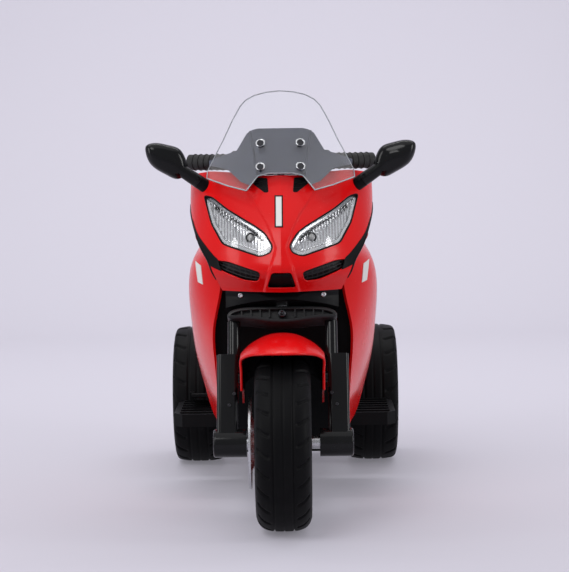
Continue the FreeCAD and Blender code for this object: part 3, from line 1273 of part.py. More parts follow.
def make_rocker():
    """A half-round rocker with a raised paddle, turned about X."""
    body = new_body("direction_switch")
    x, y = dash_point(ROCKER_SHARES)
    drum = draw_circle(new_sketch(body, "YZ_Plane", x), y, DASH_TOP, "rocker_radius")
    add_pad(body, drum, "2 * rocker_radius", midplane=True)
    lid = [(f"{y} - overrun", DASH_TOP), (f"{y} - overrun", f"{DASH_TOP} + overrun"),
           (f"{y} + overrun", f"{DASH_TOP} + overrun"), (f"{y} + overrun", DASH_TOP)]
    upper_half = draw_outline(new_sketch(body, "YZ_Plane", x), lid)
    add_pad(body, upper_half, "overrun", midplane=True, kind="Pocket")
    paddle = [(f"{y} - rocker_radius", DASH_TOP), (f"{y} + rocker_radius", DASH_TOP),
              (f"{y} + {PADDLE_SHARE} * rocker_radius", f"{DASH_TOP} + {PADDLE_SHARE} * rocker_radius"),
              (y, f"{DASH_TOP} + {PADDLE_SHARE} * rocker_radius / 2")]
    add_pad(body, draw_outline(new_sketch(body, "YZ_Plane", x), paddle), "2 * rocker_radius", midplane=True)
    return body


node("direction_switch", make_rocker())
dial = cylinder("speed_dial", "dial_radius", "dash_thickness / 2")
node("speed_dial", place(dial, *dash_point(DIAL_SHARES), DASH_TOP))

# Checks, then one STEP file for each sub-part.
doc.recompute()
for obj in doc.Objects:
    if "Invalid" in obj.State or "Error" in obj.State:
        raise RuntimeError(f"{obj.Name} failed: {obj.State}")
os.makedirs("parts", exist_ok=True)
for label, obj in nodes.items():
    shape = obj.Shape
    if shape.isNull() or not shape.isValid() or not shape.Solids:
        raise RuntimeError(f"{label} has no valid solid")
    shape.exportStep(f"parts/{label}.step")
print(len(nodes), "sub-parts")
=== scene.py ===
"""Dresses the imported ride-on motorbike: finished surfaces, materials, floor, light and camera."""

import json
import math

import bmesh
import bpy
import numpy as np
from bpy.props import FloatProperty, FloatVectorProperty, PointerProperty
from mathutils import Matrix, Vector

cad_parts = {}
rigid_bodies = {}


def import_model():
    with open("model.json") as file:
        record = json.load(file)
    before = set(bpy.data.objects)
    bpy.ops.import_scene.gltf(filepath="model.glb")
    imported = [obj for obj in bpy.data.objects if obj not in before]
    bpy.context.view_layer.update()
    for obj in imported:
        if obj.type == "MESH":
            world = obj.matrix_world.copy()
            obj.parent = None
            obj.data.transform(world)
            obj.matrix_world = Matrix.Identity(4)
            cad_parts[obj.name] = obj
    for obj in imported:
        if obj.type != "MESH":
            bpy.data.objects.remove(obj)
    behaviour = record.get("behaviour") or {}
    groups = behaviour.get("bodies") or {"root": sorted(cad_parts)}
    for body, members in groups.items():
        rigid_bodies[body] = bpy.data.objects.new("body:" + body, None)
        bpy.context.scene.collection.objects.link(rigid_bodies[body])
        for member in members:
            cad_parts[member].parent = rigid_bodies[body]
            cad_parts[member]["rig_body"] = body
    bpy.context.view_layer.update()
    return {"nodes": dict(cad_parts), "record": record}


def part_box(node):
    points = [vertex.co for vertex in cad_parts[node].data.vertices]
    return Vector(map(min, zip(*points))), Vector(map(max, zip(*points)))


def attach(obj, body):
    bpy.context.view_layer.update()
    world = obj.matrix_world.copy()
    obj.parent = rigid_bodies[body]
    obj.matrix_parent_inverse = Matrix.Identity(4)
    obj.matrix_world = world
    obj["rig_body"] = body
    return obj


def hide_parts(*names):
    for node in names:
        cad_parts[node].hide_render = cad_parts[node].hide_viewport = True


bl_info = {
    "name": "Ride-on Motorbike",
    "version": (1, 0, 0),
    "blender": (4, 5, 0),
    "location": "3D View > Sidebar > Ride-on",
    "description": "Dresses the ride-on motorbike's frame with finished pieces and materials",
    "category": "Object",
}

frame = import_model()
NODES = frame["nodes"]
BODY_OF = {name: node["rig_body"] for name, node in NODES.items()}
SLOT_OF = {part["node"]: part["material_slot"] for part in frame["record"]["subparts"]}
SIDES = {"left": 1.0, "right": -1.0}
WELD_GAP = 1e-5

# Filled by the finishes: materials by finish, and shader groups by the function that builds them
MATERIALS = {}
GROUPS = {}


def colour_prop(name, description, default):
    """A colour among the panel's values."""
    return FloatVectorProperty(name=name, description=description, default=default,
                               subtype="COLOR", min=0.0, max=1.0)


def length_prop(name, description, default):
    """A length in metres among the panel's values."""
    return FloatProperty(name=name, description=description, default=default,
                         unit="LENGTH", min=0.0, precision=4)


def angle_prop(name, description, degrees):
    """An angle, given in degrees, among the panel's values."""
    return FloatProperty(name=name, description=description, default=math.radians(degrees), subtype="ANGLE")


class RideOnColours(bpy.types.PropertyGroup):
    """Colours of the finishes, linear."""

    panel: colour_prop("Panels", "Glossy bodywork panels", (0.70, 0.003, 0.004))
    rim: colour_prop("Rims", "Moulded wheel rims", (0.30, 0.006, 0.010))
    plastic: colour_prop("Black plastic", "Grained black mouldings", (0.0045, 0.0048, 0.0055))
    cowl: colour_prop("Cowl", "Dark cowl behind the windscreen", (0.064, 0.070, 0.106))
    rubber: colour_prop("Tyres", "Tyre and grip rubber", (0.0030, 0.0030, 0.0036))
    vinyl: colour_prop("Seat", "Seat covering", (0.010, 0.010, 0.011))
    steel: colour_prop("Steel", "Bright metal", (0.62, 0.63, 0.65))
    dust: colour_prop("Dust", "Dust low on the wheels", (0.30, 0.27, 0.24))
    floor: colour_prop("Floor", "Floor and backdrop", (0.44, 0.425, 0.48))


class RideOnSizes(bpy.types.PropertyGroup):
    """Sizes of the finished surfaces that the frame does not give."""

    beak_rise: length_prop("Beak rise", "How far the nose mask's middle panel stands forward", 0.0042)
    tread_depth: length_prop("Tread depth", "Depth of the grooves in the tyres", 0.0032)
    seat_draw: length_prop("Seat draw", "How far the cushion is drawn in before it swells", 0.004)
    seat_swell: length_prop("Seat swell", "The most that the cushion swells", 0.008)


class RideOnStage(bpy.types.PropertyGroup):
    """The photograph's viewpoint."""

    distance: length_prop("Distance", "From the front axle to the camera", 3.2)
    height: length_prop("Height", "Camera height over the floor", 0.69)
    offset: length_prop("Offset", "Camera's place to the rider's left of the middle", 0.028)
    pitch: angle_prop("Pitch", "How far the camera looks down", 4.87)
    roll: angle_prop("Roll", "Turn of the picture about the view line", 0.75)
    swing: angle_prop("Swing", "Turn of the view line to the rider's right of the axle", -0.09)
    lens: FloatProperty(name="Lens", description="Focal length on a 36 mm high picture, in millimetres",
                        default=119.7)


def colours():
    """The scene's colours."""
    return bpy.context.scene.ride_on_colours


# Mesh helpers

def xyz(x, y, z):
    """Points from three coordinates, each an array or one number."""
    return np.stack(np.broadcast_arrays(x, y, z), axis=-1)


def add_object(name, data):
    """A new object of the scene, at the origin."""
    piece = bpy.data.objects.new(name, data)
    bpy.context.scene.collection.objects.link(piece)
    return piece


def shade(mesh, smooth=True):
    """Shades all faces of a mesh smooth, or all of them flat."""
    mesh.polygons.foreach_set("use_smooth", np.full(len(mesh.polygons), smooth))


def mesh_piece(name, points, faces):
    """An object from points and faces given as whole arrays."""
    mesh = bpy.data.meshes.new(name)
    mesh.from_pydata(points.reshape(-1, 3).tolist(), [], faces.tolist())
    shade(mesh)
    mesh.update()
    return add_object(name, mesh)


def grid_faces(rows, cols, close_rows=False, close_cols=False):
    """The quads of a grid: each cell joins a point to its next row, next column and the one across."""
    index = np.arange(rows * cols).reshape(rows, cols)
    index = np.concatenate([index, index[:1]], axis=0) if close_rows else index
    index = np.concatenate([index, index[:, :1]], axis=1) if close_cols else index
    corners = [index[:-1, :-1], index[1:, :-1], index[1:, 1:], index[:-1, 1:]]
    return np.stack(corners, axis=-1).reshape(-1, 4)


def grid_piece(name, points, close_rows=False, close_cols=False):
    """An object from an array of points with two parameters."""
    return mesh_piece(name, points, grid_faces(*points.shape[:2], close_rows, close_cols))


def turn_outwards(piece):
    """Merges doubles and points a closed shell's faces outwards."""
    work = bmesh.new()
    work.from_mesh(piece.data)
    bmesh.ops.remove_doubles(work, verts=work.verts, dist=1e-6)
    bmesh.ops.recalc_face_normals(work, faces=work.faces)
    work.to_mesh(piece.data)
    work.free()
    return piece


def mesh_arrays(piece):
    """A mesh's points and normals as whole arrays."""
    mesh = piece.data
    points, normals = np.empty(len(mesh.vertices) * 3), np.empty(len(mesh.vertices) * 3)
    mesh.vertices.foreach_get("co", points)
    mesh.vertices.foreach_get("normal", normals)
    return points.reshape(-1, 3), normals.reshape(-1, 3)


def move_points(piece, points):
    """Puts a mesh's points at new places."""
    piece.data.vertices.foreach_set("co", points.ravel())
    piece.data.update()


def joined(name, pieces):
    """Several pieces as one."""
    work = bmesh.new()
    for piece in pieces:
        work.from_mesh(piece.data)
    mesh = bpy.data.meshes.new(name)
    work.to_mesh(mesh)
    work.free()
    for piece in pieces:
        bpy.data.meshes.remove(piece.data)
    return add_object(name, mesh)


def add_modifier(piece, kind, **settings):
    """A modifier of a kind, with its settings filled."""
    modifier = piece.modifiers.new(kind.title(), kind)
    for key, value in settings.items():
        setattr(modifier, key, value)
    return modifier


def split_edges(piece, degrees):
    """Keeps edges sharp where two faces turn from each other by more than an angle."""
    add_modifier(piece, "EDGE_SPLIT", split_angle=math.radians(degrees))


def bake_modifiers(piece):
    """Puts the result of a piece's modifiers into its mesh."""
    shown = piece.evaluated_get(bpy.context.evaluated_depsgraph_get())
    result = bpy.data.meshes.new_from_object(shown)
    piece.modifiers.clear()
    old, piece.data = piece.data, result
    bpy.data.meshes.remove(old)
    return piece


def cut_away(piece, cutters):
    """Cuts closed shells out of a piece and removes them."""
    for cutter in cutters:
        add_modifier(piece, "BOOLEAN", operation="DIFFERENCE", solver="EXACT", object=cutter)
    bake_modifiers(piece)
    for cutter in cutters:
        bpy.data.meshes.remove(cutter.data)


def smooth_node(node):
    """Shades a carried-over solid smoothly across its loose triangles, with sharp edges kept."""
    shade(node.data)
    add_modifier(node, "WELD", merge_threshold=WELD_GAP)
    split_edges(node, 30.0)


def fit(piece, body, slot, *nodes, finish=None):
    """Attaches a finished piece to its body, hides the nodes that it stands for, and gives it the material of
    its record slot or of another finish."""
    piece.data.materials.clear()
    piece.data.materials.append(MATERIALS[finish or slot])
    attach(piece, body)
    if nodes:
        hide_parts(*nodes)
    return piece


# Curves and sweeps

def unit(rows):
    """Directions of length one."""
    return rows / np.linalg.norm(rows, axis=1)[:, None]


def smooth_curve(stations, values, at):
    """A smooth curve through stations: cubic pieces whose slopes are the mean of their neighbours' chords."""
    stations, values = np.asarray(stations, float), np.asarray(values, float)
    chord = np.diff(values) / np.diff(stations)
    slope = np.concatenate([chord[:1], (chord[:-1] + chord[1:]) / 2, chord[-1:]])
    k = np.clip(np.searchsorted(stations, at) - 1, 0, len(chord) - 1)
    span = (stations[1:] - stations[:-1])[k]
    t = np.clip((at - stations[k]) / span, 0.0, 1.0)
    return ((2 * t**3 - 3 * t**2 + 1) * values[k] + (t**3 - 2 * t**2 + t) * span * slope[k]
            + (3 * t**2 - 2 * t**3) * values[k + 1] + (t**3 - t**2) * span * slope[k + 1])


def rounded_outline(corners, cut, steps=6):
    """A closed outline whose corners are short curves: each corner is blended between points a cut away
    on its sides, and nearer where a side is short."""
    here = np.asarray(corners, float)
    start, end = (here + unit(k - here) * np.minimum(cut, 0.45 * np.linalg.norm(k - here, axis=1))[:, None]
                  for k in (np.roll(here, 1, axis=0), np.roll(here, -1, axis=0)))
    t = np.linspace(0.0, 1.0, steps)[None, :, None]
    points = (1 - t)**2 * start[:, None] + 2 * t * (1 - t) * here[:, None] + t**2 * end[:, None]
    return points.reshape(-1, here.shape[1])


def path_length(path):
    """The length of a path up to each of its points."""
    return np.concatenate([[0.0], np.cumsum(np.linalg.norm(np.diff(path, axis=0), axis=1))])


def spread_outline(points, count):
    """A closed outline at even steps of its length."""
    closed = np.concatenate([points, points[:1]])
    length = path_length(closed)
    at = np.linspace(0.0, length[-1], count, endpoint=False)
    return np.stack([np.interp(at, length, closed[:, k]) for k in range(points.shape[1])], axis=1)


def inset_outline(points, distance):
    """A closed outline in two dimensions drawn in along its own normals."""
    along = unit(np.roll(points, -1, axis=0) - np.roll(points, 1, axis=0))
    area = np.sum(points[:, 0] * np.roll(points[:, 1], -1) - np.roll(points[:, 0], -1) * points[:, 1])
    normal = np.stack([-along[:, 1], along[:, 0]], axis=1) * np.sign(area)
    return points + normal * distance


def tube_points(path, radius, sides, closed, side):
    """A round profile carried along a path: circles square to the path's direction."""
    both = np.roll(path, -1, axis=0) - np.roll(path, 1, axis=0) if closed else np.gradient(path, axis=0)
    ahead = unit(both)
    across = unit(np.cross(ahead, np.asarray(side, float)))
    other = np.cross(ahead, across)
    turn = np.linspace(0.0, math.tau, sides, endpoint=False)[None, :, None]
    ring = np.cos(turn) * across[:, None] + np.sin(turn) * other[:, None]
    return path[:, None] + ring * np.asarray(radius, float).reshape(-1, 1, 1)


def tube_piece(name, path, radius, sides=10, closed=False, side=(0.0, 1.0, 0.0)):
    """A tube along a path; the ends of an open path are closed at their middles."""
    points = tube_points(path, radius, sides, closed, side)
    if not closed:
        first, last = (np.repeat(path[k][None, None], sides, axis=1) for k in (0, -1))
        points = np.concatenate([first, points, last])
    return turn_outwards(grid_piece(name, points, closed, True))


def turned_piece(name, profile, origin, axis, sides=32, closed=False):
    """A profile of radius and height turned about an axis; a radius of zero closes an end."""
    profile = np.asarray(profile, float)[:, :, None, None]
    axis = np.asarray(Vector(axis).normalized())
    first = np.asarray(Vector(axis).orthogonal().normalized())
    second = np.cross(axis, first)
    turn = np.linspace(0.0, math.tau, sides, endpoint=False)[:, None]
    ring = np.cos(turn) * first + np.sin(turn) * second
    points = np.asarray(origin, float) + profile[:, 0] * ring[None] + profile[:, 1] * axis
    return turn_outwards(grid_piece(name, points, closed, True))


def bars_piece(name, start, end, side, lift):
    """Straight bars of four sides between arrays of start and end points; side and lift are half the
    thickness."""
    side, lift = (np.broadcast_to(np.asarray(k, float), start.shape) for k in (side, lift))
    around = ((-1, -1), (1, -1), (1, 1), (-1, 1))
    corners = [p + a * side + b * lift for p in (start, end) for a, b in around]
    box = np.array([(0, 1, 2, 3), (7, 6, 5, 4), (0, 4, 5, 1), (1, 5, 6, 2), (2, 6, 7, 3), (3, 7, 4, 0)])
    faces = (box[None] + 8 * np.arange(len(start))[:, None, None]).reshape(-1, 4)
    bars = turn_outwards(mesh_piece(name, np.stack(corners, axis=1), faces))
    shade(bars.data, False)
    return bars


def sharp_points(mesh, degrees):
    """The points of a mesh on edges whose two faces turn from each other by more than an angle. Loose
    triangles are joined first, by giving points at one place one number."""
    mesh.calc_loop_triangles()
    points = np.empty(len(mesh.vertices) * 3)
    mesh.vertices.foreach_get("co", points)
    corners = np.empty(len(mesh.loop_triangles) * 3, int)
    mesh.loop_triangles.foreach_get("vertices", corners)
    points = points.reshape(-1, 3)
    keys, same = np.unique(np.round(points / 2e-5).astype(int), axis=0, return_inverse=True)
    place = np.zeros((len(keys), 3))
    place[same.ravel()] = points
    corners = same.ravel()[corners.reshape(-1, 3)]
    first, second, third = (place[corners[:, k]] for k in range(3))
    normals = np.cross(second - first, third - first)
    normals /= np.maximum(np.linalg.norm(normals, axis=1), 1e-15)[:, None]
    edges = np.concatenate([corners[:, pair] for pair in ((0, 1), (1, 2), (2, 0))])
    edges = np.sort(edges, axis=1)
    order = np.lexsort((edges[:, 1], edges[:, 0]))
    edges, faces = edges[order], np.tile(np.arange(len(corners)), 3)[order]
    shared = np.nonzero(np.all(edges[1:] == edges[:-1], axis=1))[0]
    alike = np.sum(normals[faces[shared]] * normals[faces[shared + 1]], axis=1)
    return place[np.unique(edges[shared[alike < math.cos(math.radians(degrees))]])]


# Nose mask: the shapes that the mask, lamps and trim share, as shares of its half width and height

AXLE = sum(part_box("front_axle"), Vector()) / 2
MASK_HALF, MASK_BOTTOM, MASK_HEIGHT = 0.165, 0.404, 0.218
MASK_DEPTH, MASK_RIDGE, MASK_SETBACK, MASK_WALL = 0.190, 0.045, 0.002, 0.0035
BEAK_SLOPE = 0.0045
NOSE_LINE = [(-0.06, 0.165), (0.0, 0.138), (0.165, 0.0), (0.30, 0.035), (0.44, 0.10), (0.67, 0.25),
             (0.90, 0.436), (1.06, 0.575)]
MASK_SIDE = [(0.0, 0.625), (0.151, 0.72), (0.24, 0.765), (0.367, 0.866), (0.565, 0.965), (0.65, 0.988),
             (0.86, 0.988), (1.0, 0.96)]
MASK_TOP = [(0.0, 0.905), (0.30, 0.91), (0.55, 0.927), (0.86, 0.925), (0.95, 0.90), (1.0, 0.845)]
BEAK_SIDE = [(0.0, 0.20), (0.032, 0.19), (0.174, 0.143), (0.31, 0.082), (0.36, 0.072), (0.413, 0.098),
             (0.51, 0.145), (0.592, 0.20), (0.775, 0.364), (0.95, 0.43)]
LAMP_CORNERS = [(0.824, 0.745), (0.735, 0.525), (0.612, 0.372), (0.212, 0.28), (0.105, 0.312),
                (0.082, 0.365), (0.164, 0.463), (0.255, 0.512), (0.558, 0.64), (0.72, 0.728)]
INTAKE_CORNERS = [(0.205, 0.168), (0.232, 0.083), (0.39, 0.093), (0.63, 0.165), (0.692, 0.215),
                  (0.70, 0.25), (0.56, 0.248)]
INTAKE_UPPER = [(0.205, 0.168), (0.40, 0.222), (0.56, 0.248), (0.70, 0.25)]
INTAKE_LOWER = [(0.232, 0.083), (0.39, 0.093), (0.63, 0.165), (0.692, 0.215)]
CHIN_CORNERS = [(-0.106, 0.168), (-0.158, 0.035), (0.158, 0.035), (0.106, 0.168)]
VENT_CORNERS = [(0.305, 0.862), (0.262, 0.893), (0.135, 0.893), (0.120, 0.771), (0.164, 0.766),
                (0.303, 0.842)]
INLAY_INNER = [(0.165, 0.622), (0.215, 0.650), (0.25, 0.66), (0.285, 0.712), (0.36, 0.805), (0.435, 0.886),
               (0.55, 0.957)]
SIDE_TRIM = [(0.985, 0.66), (0.965, 0.565), (0.866, 0.367), (0.765, 0.24), (0.722, 0.151), (0.685, 0.09)]


def along_line(line, at):
    """The smooth curve through a list of stations and values."""
    return smooth_curve(*zip(*line), at)


def mask_place(shares, sign, half=MASK_HALF):
    """Shares of the mask's half width and height as x and z on one side of the bike."""
    return np.asarray(shares, float) * (sign * half, MASK_HEIGHT) + (0.0, MASK_BOTTOM)


def mask_outline(corners, sign, cut, count):
    """An outline (x, z) with rounded corners, evenly spaced, on one side of the mask."""
    return spread_outline(rounded_outline(mask_place(corners, sign), cut), count)


def lamp_rim(sign):
    """The outline of one headlamp's opening."""
    return mask_outline(LAMP_CORNERS, sign, 0.006, 240)


def intake_rim(sign):
    """The outline of one intake's opening."""
    return mask_outline(INTAKE_CORNERS, sign, 0.008, 120)


def mask_y(x, z, beak=0.0):
    """The mask's skin: the nose line's setback at a height, and an elliptic sweep back from the middle ridge.
    The beak is a band about the middle that stands forward, with soft sides."""
    share = (z - MASK_BOTTOM) / MASK_HEIGHT
    setback = along_line(NOSE_LINE, share) * MASK_HEIGHT
    span = MASK_HALF + MASK_RIDGE
    ellipse = np.sqrt(np.clip(1 - ((np.abs(x) + MASK_RIDGE) / span)**2, 0, 1))
    sweep = math.sqrt(1 - (MASK_RIDGE / span)**2) - ellipse
    rise = np.clip((along_line(BEAK_SIDE, share) * MASK_HALF - np.abs(x)) / BEAK_SLOPE, 0.0, 1.0)
    return AXLE.y + MASK_SETBACK + setback + MASK_DEPTH * sweep - beak * rise * rise * (3 - 2 * rise)


def on_mask(flat, depth=0.0, beak=0.0):
    """Points (x, z) of the front view laid on the mask's skin, or behind it by a depth."""
    x, z = flat[..., 0], flat[..., 1]
    return xyz(x, mask_y(x, z, beak) + depth, z)


def prism(name, outline, near, far):
    """A cutter: a front-view outline carried along y from near to far, closed at both ends."""
    rings = np.stack([xyz(outline[:, 0], y, outline[:, 1]) for y in (near, far)])
    count = len(outline)
    ends = [list(range(count)), list(range(2 * count - 1, count - 1, -1))]
    mesh = bpy.data.meshes.new(name)
    mesh.from_pydata(rings.reshape(-1, 3).tolist(), [], grid_faces(2, count, False, True).tolist() + ends)
    return turn_outwards(add_object(name, mesh))


# Windscreen: its front face, and its outline as shares of its half width and height

SCREEN_HALF, SCREEN_BOTTOM, SCREEN_HEIGHT, SCREEN_WALL = 0.131, 0.574, 0.176, 0.003
SCREEN_SETBACK, SCREEN_RAKE, SCREEN_BOW, SCREEN_REACH = 0.048, 0.158, 0.062, 0.141
SCREEN_LINE = [(-0.1, -0.12), (0.2, 0.22), (0.5, 0.52), (0.8, 0.79), (1.1, 1.04)]
SCREEN_CORNERS = [(0.0, 1.0), (0.19, 0.986), (0.35, 0.957), (0.47, 0.908), (0.55, 0.845), (0.656, 0.70),
                  (0.78, 0.50), (0.878, 0.36), (0.985, 0.20), (0.992, 0.125), (0.70, 0.055), (0.445, 0.008),
                  (0.39, 0.06), (0.29, 0.15), (0.15, 0.172)]
SCREW_PLACES = [(0.267, 0.245), (0.267, 0.475)]


def screen_y(x, z):
    """The windscreen's front face: the rake's setback at a height, and a round bow back from the middle."""
    setback = along_line(SCREEN_LINE, (z - SCREEN_BOTTOM) / SCREEN_HEIGHT)
    radius = (SCREEN_REACH**2 + SCREEN_BOW**2) / (2 * SCREEN_BOW)
    return AXLE.y + SCREEN_SETBACK + setback * SCREEN_RAKE + radius - np.sqrt(radius**2 - x**2)


# Steering frame: across the bike, back square to the steering axis, and up along it from the front axle

CASTER, YOKE_BASE = math.radians(22.0), 0.205


def in_fork(across, back, up):
    """Points of the steering frame as points of the bike."""
    return xyz(AXLE.x + across, AXLE.y + back * math.cos(CASTER) + up * math.sin(CASTER),
               AXLE.z - back * math.sin(CASTER) + up * math.cos(CASTER))


def about_axle(across, radius, turn):
    """Points at a radius from the front axle, turned forwards from straight above it."""
    return xyz(AXLE.x + across, AXLE.y - radius * np.sin(turn), AXLE.z + radius * np.cos(turn))


FORK_AHEAD = in_fork(0.0, -1.0, 0.0) - in_fork(0.0, 0.0, 0.0)


# Shader groups and materials

def new_group(name, inputs, outputs):
    """A shader node group with named sockets; returns it with its input and output nodes."""
    group = bpy.data.node_groups.new(name, "ShaderNodeTree")
    for label, kind, default in inputs:
        socket = group.interface.new_socket(label, in_out="INPUT", socket_type=kind)
        if default is not None:
            socket.default_value = default
    for label, kind in outputs:
        group.interface.new_socket(label, in_out="OUTPUT", socket_type=kind)
    return group, group.nodes.new("NodeGroupInput"), group.nodes.new("NodeGroupOutput")


def add_node(tree, kind, links=None, **settings):
    """A shader node; settings fill its properties, links fill its sockets with values or other sockets."""
    node = tree.nodes.new(kind)
    for key, value in settings.items():
        setattr(node, key, value)
    for key, value in (links or {}).items():
        if isinstance(value, bpy.types.NodeSocket):
            tree.links.new(value, node.inputs[key])
        else:
            node.inputs[key].default_value = value
    return node


def ramp(tree, value, low, high, out_low=0.0, out_high=1.0):
    """A value mapped from one range to another and held at its ends."""
    sockets = {0: value, 1: low, 2: high, 3: out_low, 4: out_high}
    return add_node(tree, "ShaderNodeMapRange", sockets).outputs[0]


def maths(tree, operation, *values):
    """One step of arithmetic on values or sockets."""
    return add_node(tree, "ShaderNodeMath", dict(enumerate(values)), operation=operation).outputs[0]


def rgba(colour, factor=1.0, lift=0.0):
    """A colour made lighter or darker, with its alpha."""
    return tuple(min(1.0, k * factor + lift) for k in colour) + (1.0,)


def mix_colour(tree, factor, first, second):
    """A colour between two, by a factor."""
    return add_node(tree, "ShaderNodeMix", {0: factor, 6: first, 7: second}, data_type="RGBA").outputs[2]


def moulded_grain():
    """Height of a moulded texture and a slow tone over the surface."""
    group, given, result = new_group("Moulded grain", [("Vector", "NodeSocketVector", None),
                                                       ("Scale", "NodeSocketFloat", 900.0)],
                                     [("Height", "NodeSocketFloat"), ("Tone", "NodeSocketFloat")])
    fine = add_node(group, "ShaderNodeTexNoise", {"Vector": given.outputs[0], "Scale": given.outputs[1],
                                                  "Detail": 3.0, "Roughness": 0.6})
    slow = add_node(group, "ShaderNodeTexNoise", {"Vector": given.outputs[0], "Scale": 6.0, "Detail": 3.0})
    group.links.new(fine.outputs[0], result.inputs[0])
    group.links.new(slow.outputs[0], result.inputs[1])
    return group


def handling_wear():
    """Smudges and fine scratches: a mask that lifts roughness and pales the colour."""
    group, given, result = new_group("Handling wear", [("Vector", "NodeSocketVector", None),
                                                       ("Amount", "NodeSocketFloat", 0.3)],
                                     [("Mask", "NodeSocketFloat")])
    smudge = add_node(group, "ShaderNodeTexNoise", {"Vector": given.outputs[0], "Scale": 14.0, "Detail": 5.0})
    stretch = add_node(group, "ShaderNodeMapping", {"Vector": given.outputs[0], "Rotation": (0.3, 0.5, 0.7),
                                                    "Scale": (30.0, 420.0, 420.0)})
    scratch = add_node(group, "ShaderNodeTexNoise", {"Vector": stretch.outputs[0], "Scale": 1.0,
                                                     "Detail": 2.0})
    soft = ramp(group, smudge.outputs[0], 0.42, 0.72)
    thin = ramp(group, scratch.outputs[0], 0.66, 0.74)
    both = maths(group, "MAXIMUM", maths(group, "MULTIPLY", soft, 0.7), thin)
    group.links.new(maths(group, "MULTIPLY", both, given.outputs[1]), result.inputs[0])
    return group


def road_dust():
    """Dust that thins out with height over the floor."""
    group, given, result = new_group("Road dust", [("Vector", "NodeSocketVector", None),
                                                   ("Top", "NodeSocketFloat", 0.3),
                                                   ("Amount", "NodeSocketFloat", 0.3)],
                                     [("Mask", "NodeSocketFloat")])
    height = add_node(group, "ShaderNodeSeparateXYZ", {0: given.outputs[0]}).outputs[2]
    low = ramp(group, maths(group, "DIVIDE", height, given.outputs[1]), 0.0, 1.0, 1.0, 0.0)
    patch = add_node(group, "ShaderNodeTexNoise", {"Vector": given.outputs[0], "Scale": 45.0, "Detail": 6.0})
    spread = maths(group, "MULTIPLY", low, ramp(group, patch.outputs[0], 0.38, 0.75))
    group.links.new(maths(group, "MULTIPLY", spread, given.outputs[2]), result.inputs[0])
    return group


def placed_group(tree, maker, **links):
    """A shared group placed in a material; the group is built once."""
    if maker.__name__ not in GROUPS:
        GROUPS[maker.__name__] = maker()
    return add_node(tree, "ShaderNodeGroup", links, node_tree=GROUPS[maker.__name__])


def new_material(name, **sockets):
    """A material with a Principled shader; returns the material, its tree, shader and Object coordinates."""
    material = bpy.data.materials.new(name)
    material.use_nodes = True
    tree = material.node_tree
    shader = tree.nodes["Principled BSDF"]
    for key, value in sockets.items():
        shader.inputs[key.replace("_", " ")].default_value = value
    return material, tree, shader, add_node(tree, "ShaderNodeTexCoord").outputs["Object"]


def bump(tree, shader, height, distance, strength=1.0):
    """Feeds a height into the shader's normal."""
    node = add_node(tree, "ShaderNodeBump", {"Height": height, "Strength": strength, "Distance": distance})
    tree.links.new(node.outputs[0], shader.inputs["Normal"])


def moulding(name, colour, roughness, grain=900.0, depth=0.00004, tone=0.12, wear=0.25, dust=0.0, top=0.3,
             **sockets):
    """Plastic or rubber: a colour that drifts slightly, grain in the normal, wear in the roughness, and dust
    low down."""
    material, tree, shader, where = new_material(name, **sockets)
    texture = placed_group(tree, moulded_grain, Vector=where, Scale=grain)
    worn = placed_group(tree, handling_wear, Vector=where, Amount=wear)
    dark, light, pale = rgba(colour, 1 - tone), rgba(colour, 1 + tone, 0.0004), rgba(colour, 1.4, 0.002)
    base = mix_colour(tree, texture.outputs["Tone"], dark, light)
    base = mix_colour(tree, maths(tree, "MULTIPLY", worn.outputs[0], 0.30), base, pale)
    rough = ramp(tree, worn.outputs[0], 0.0, 1.0, roughness, min(1.0, roughness + 0.30))
    if dust:
        dirt = placed_group(tree, road_dust, Vector=where, Top=top, Amount=dust)
        base = mix_colour(tree, dirt.outputs[0], base, rgba(colours().dust))
        rough = maths(tree, "MAXIMUM", rough, ramp(tree, dirt.outputs[0], 0.0, 0.5, roughness, 0.9))
    tree.links.new(base, shader.inputs["Base Color"])
    tree.links.new(rough, shader.inputs["Roughness"])
    bump(tree, shader, texture.outputs["Height"], depth)
    return material


def brushed_metal(name, colour, roughness, along=(900.0, 40.0, 900.0), wear=0.2):
    """Bright metal with fine lines: noise stretched along one direction drives roughness and normal."""
    material, tree, shader, where = new_material(name, Metallic=1.0)
    stretch = add_node(tree, "ShaderNodeMapping", {"Vector": where, "Scale": along})
    lines = add_node(tree, "ShaderNodeTexNoise", {"Vector": stretch.outputs[0], "Scale": 1.0, "Detail": 3.0})
    worn = placed_group(tree, handling_wear, Vector=where, Amount=wear)
    base = mix_colour(tree, lines.outputs[0], rgba(colour, 0.86), rgba(colour, 1.1))
    rough = maths(tree, "ADD", ramp(tree, lines.outputs[0], 0.3, 0.7, roughness * 0.8, roughness * 1.3),
                  maths(tree, "MULTIPLY", worn.outputs[0], 0.25))
    tree.links.new(base, shader.inputs["Base Color"])
    tree.links.new(rough, shader.inputs["Roughness"])
    bump(tree, shader, lines.outputs[0], 0.00002)
    return material


def clear_plastic(name, tint, roughness, wear=0.15):
    """Clear acrylic or lens plastic with faint handling marks in its roughness."""
    material, tree, shader, where = new_material(name, Transmission_Weight=1.0, IOR=1.47,
                                                 Specular_IOR_Level=0.2, Base_Color=rgba(tint))
    worn = placed_group(tree, handling_wear, Vector=where, Amount=wear)
    rough = ramp(tree, worn.outputs[0], 0.0, 1.0, roughness, roughness + 0.2)
    tree.links.new(rough, shader.inputs["Roughness"])
    return material


